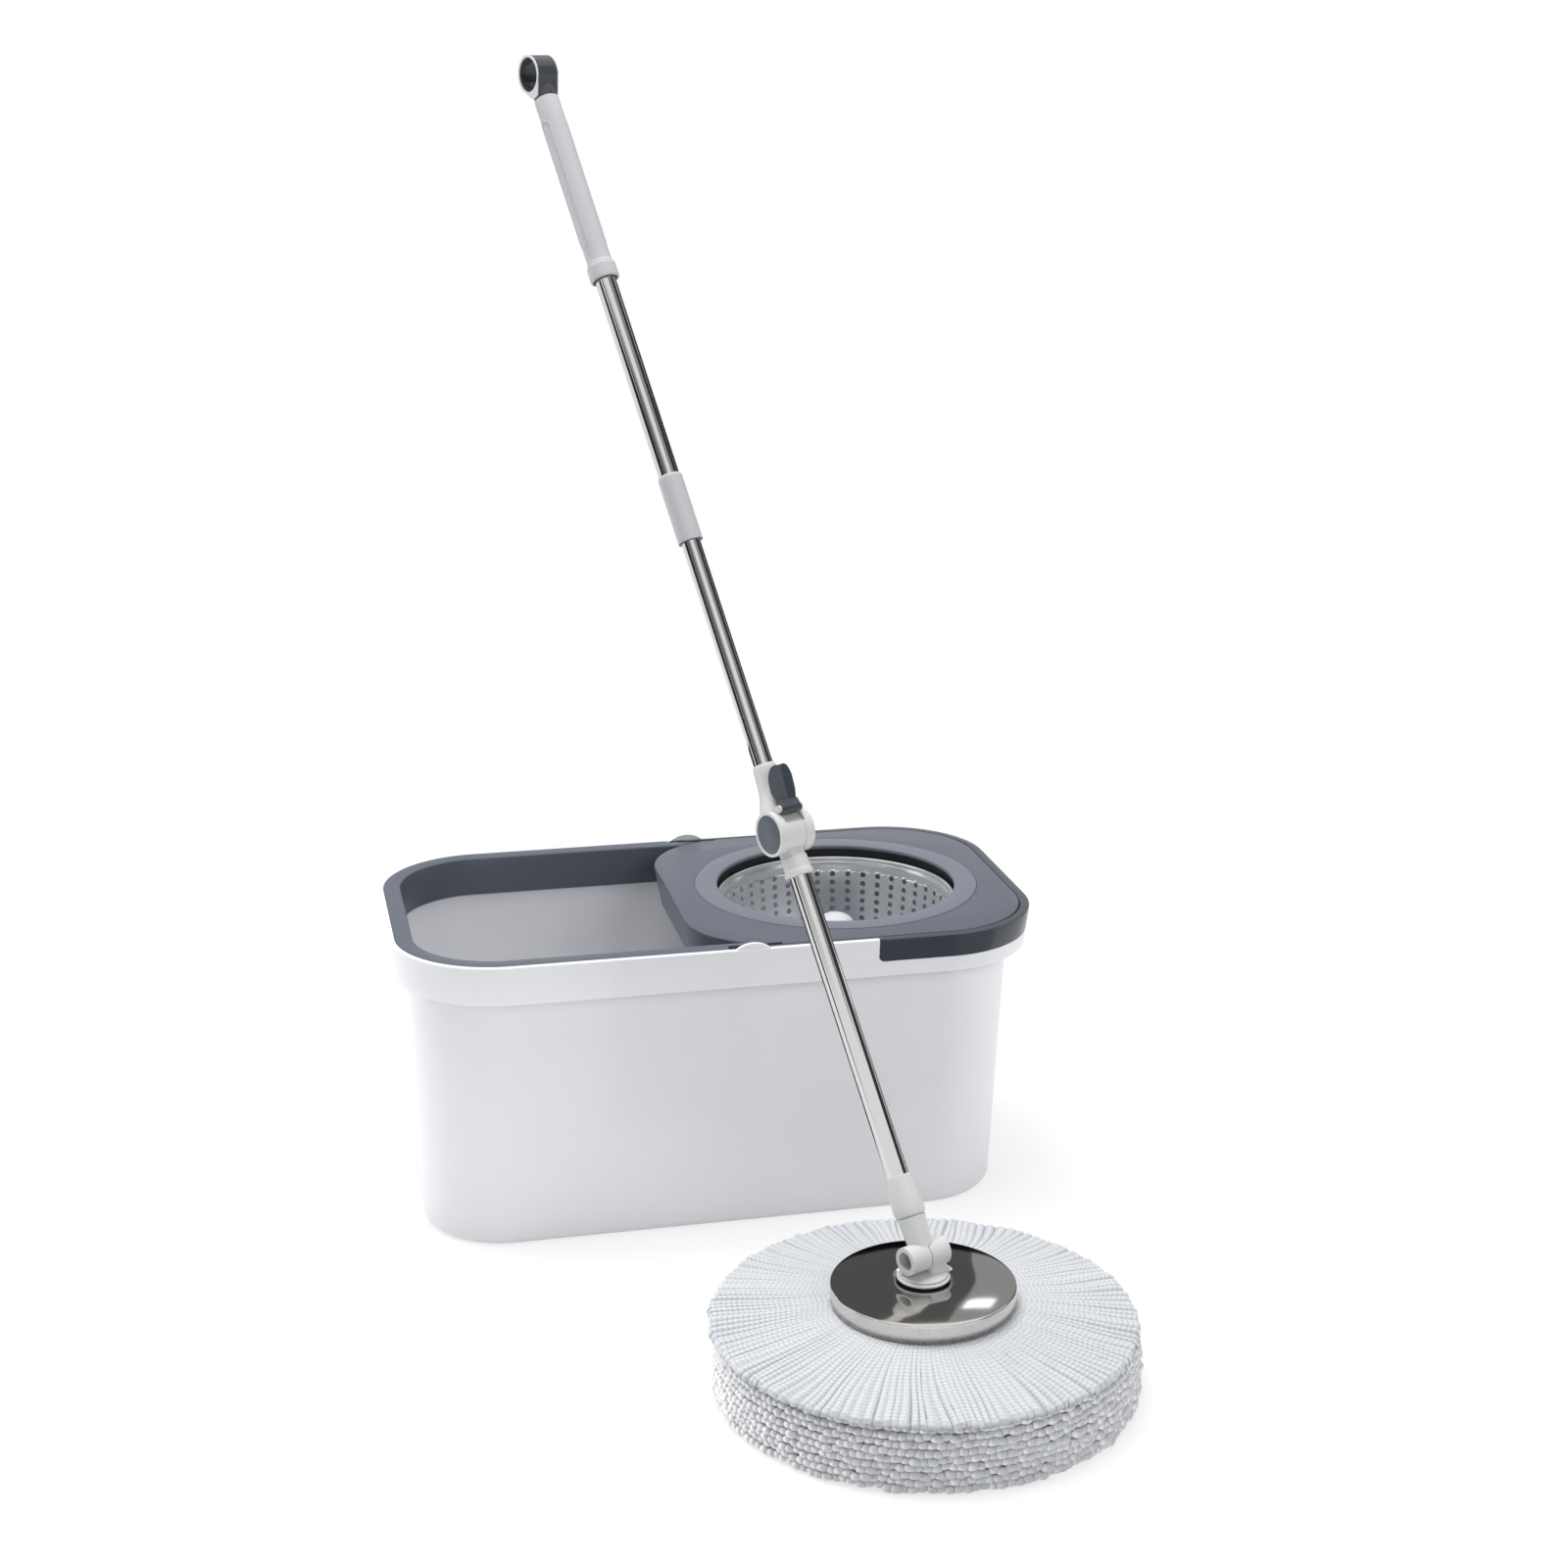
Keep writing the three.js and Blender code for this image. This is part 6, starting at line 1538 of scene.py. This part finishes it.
# The collar's points are given with their heights above the grip's foot.
step = [
    (10.3, 0),
    (11.1, 0),
    *eased([(11.5, 0.3), (11.75, 1.2), (11.7, 6), (11.55, 11.5), (11.2, 12.4)], 3),
    *eased([(10.7, 13.0), (10.55, 14.2), (10.1, 15.4), (GRIP, 17.5)], 3),
]
profile = [
    *((r, GRIP_FOOT + up) for r, up in step),
    *((None, z) for z in rows),
    (GRIP, GRIP_TOP - 1.2),
    (GRIP - 0.25, GRIP_TOP - 0.4),
    (GRIP - 0.8, GRIP_TOP),
    (8.7, GRIP_TOP),
    (8.7, GRIP_FOOT + 3.6),
    (10.1, GRIP_FOOT + 3.5),
]
rings = []
for r, z in profile:
    ring = []
    for a in columns:
        c, s = cos(radians(a)), sin(radians(a))
        far = GRIP if r is None else r
        if r is None and abs(GRIP * s) < PAD_WIDE + 1.5:
            far += pad_lift(GRIP * s, z)
        ring.append((far * c, far * s, z))
    rings.append(ring)
grip = lofted("grip_moulding", rings, looped=True)
finished(placed(grip, POLE), grip_plastic, "upper_pole", "grip", edge=0.15)

# ---- Hanging loop ------------------------------------------------------------------------
# A glossy dark-grey eye on the grip's end, wide across, with a thin pale ring round each
# opening that runs down to a point at the grip.
LOOP_Z, LOOP_R, LOOP_WALL, LOOP_HALF = 971.8, 15.0, 2.4, 9.3


def drop_line(grow=0.0):
    """The loop's outline from the side: a circle drawn down to a rounded point."""
    left = [(-12.6, 964.3), (-7.6, 956.6), (-3.6, 951.4)]
    right = [(-y, z) for y, z in reversed(left)]
    circle = arc(0, LOOP_Z, LOOP_R + grow, -28, 208, 60)
    return circle + eased(left, 4)[1:] + eased(right, 4)[:-1]


loop = drawn_across(drop_line(), LOOP_HALF - 0.5)
neck = turned("neck", [
    (0, 950.3),
    (9.2, 950.3),
    (9.3, 952),
    *eased([(9.3, 956), (9.0, 960), (8.0, 964)], 3),
    (0, 964),
], sides=96)
combine(loop, neck, "UNION")
combine(loop, bar(-LOOP_HALF - 1, LOOP_HALF + 1, LOOP_R - LOOP_WALL, z=LOOP_Z, sides=128))
combine(loop, plug(8.4, 947.3, 951, sides=96), "UNION")
loop_plastic = plastic("loop_grey_nylon", rgb(62, 65, 70), roughness=0.24, grain=0.008, drift=0.04)
finished(placed(loop, POLE), loop_plastic, "upper_pole", "hang_loop", edge=0.4)
for side in (-1, 1):
    ring = drawn_across(drop_line(0.2), 0.45)
    combine(ring, bar(-1, 1, LOOP_R - LOOP_WALL + 0.7, z=LOOP_Z, sides=128))
    placed(ring, POLE @ Matrix.Translation((side * (LOOP_HALF - 0.05), 0, 0)))
    ring.name = "hang_loop_edge"
    finished(ring, joint_plastic, "upper_pole", "hang_loop", edge=0.2)

# ---- Inside the pole ---------------------------------------------------------------------
# What turns the head inside the tubes, all of it hidden: the spiral rod with its plug, the
# nut in its housing, and the guide bush. With them goes the screw that holds the yoke.
dressed(dark_plastic, "nut_housing", "guide_bush", "rod_plug")
dressed(pin_steel, "yoke_screw", "drive_nut", "spiral_rod")
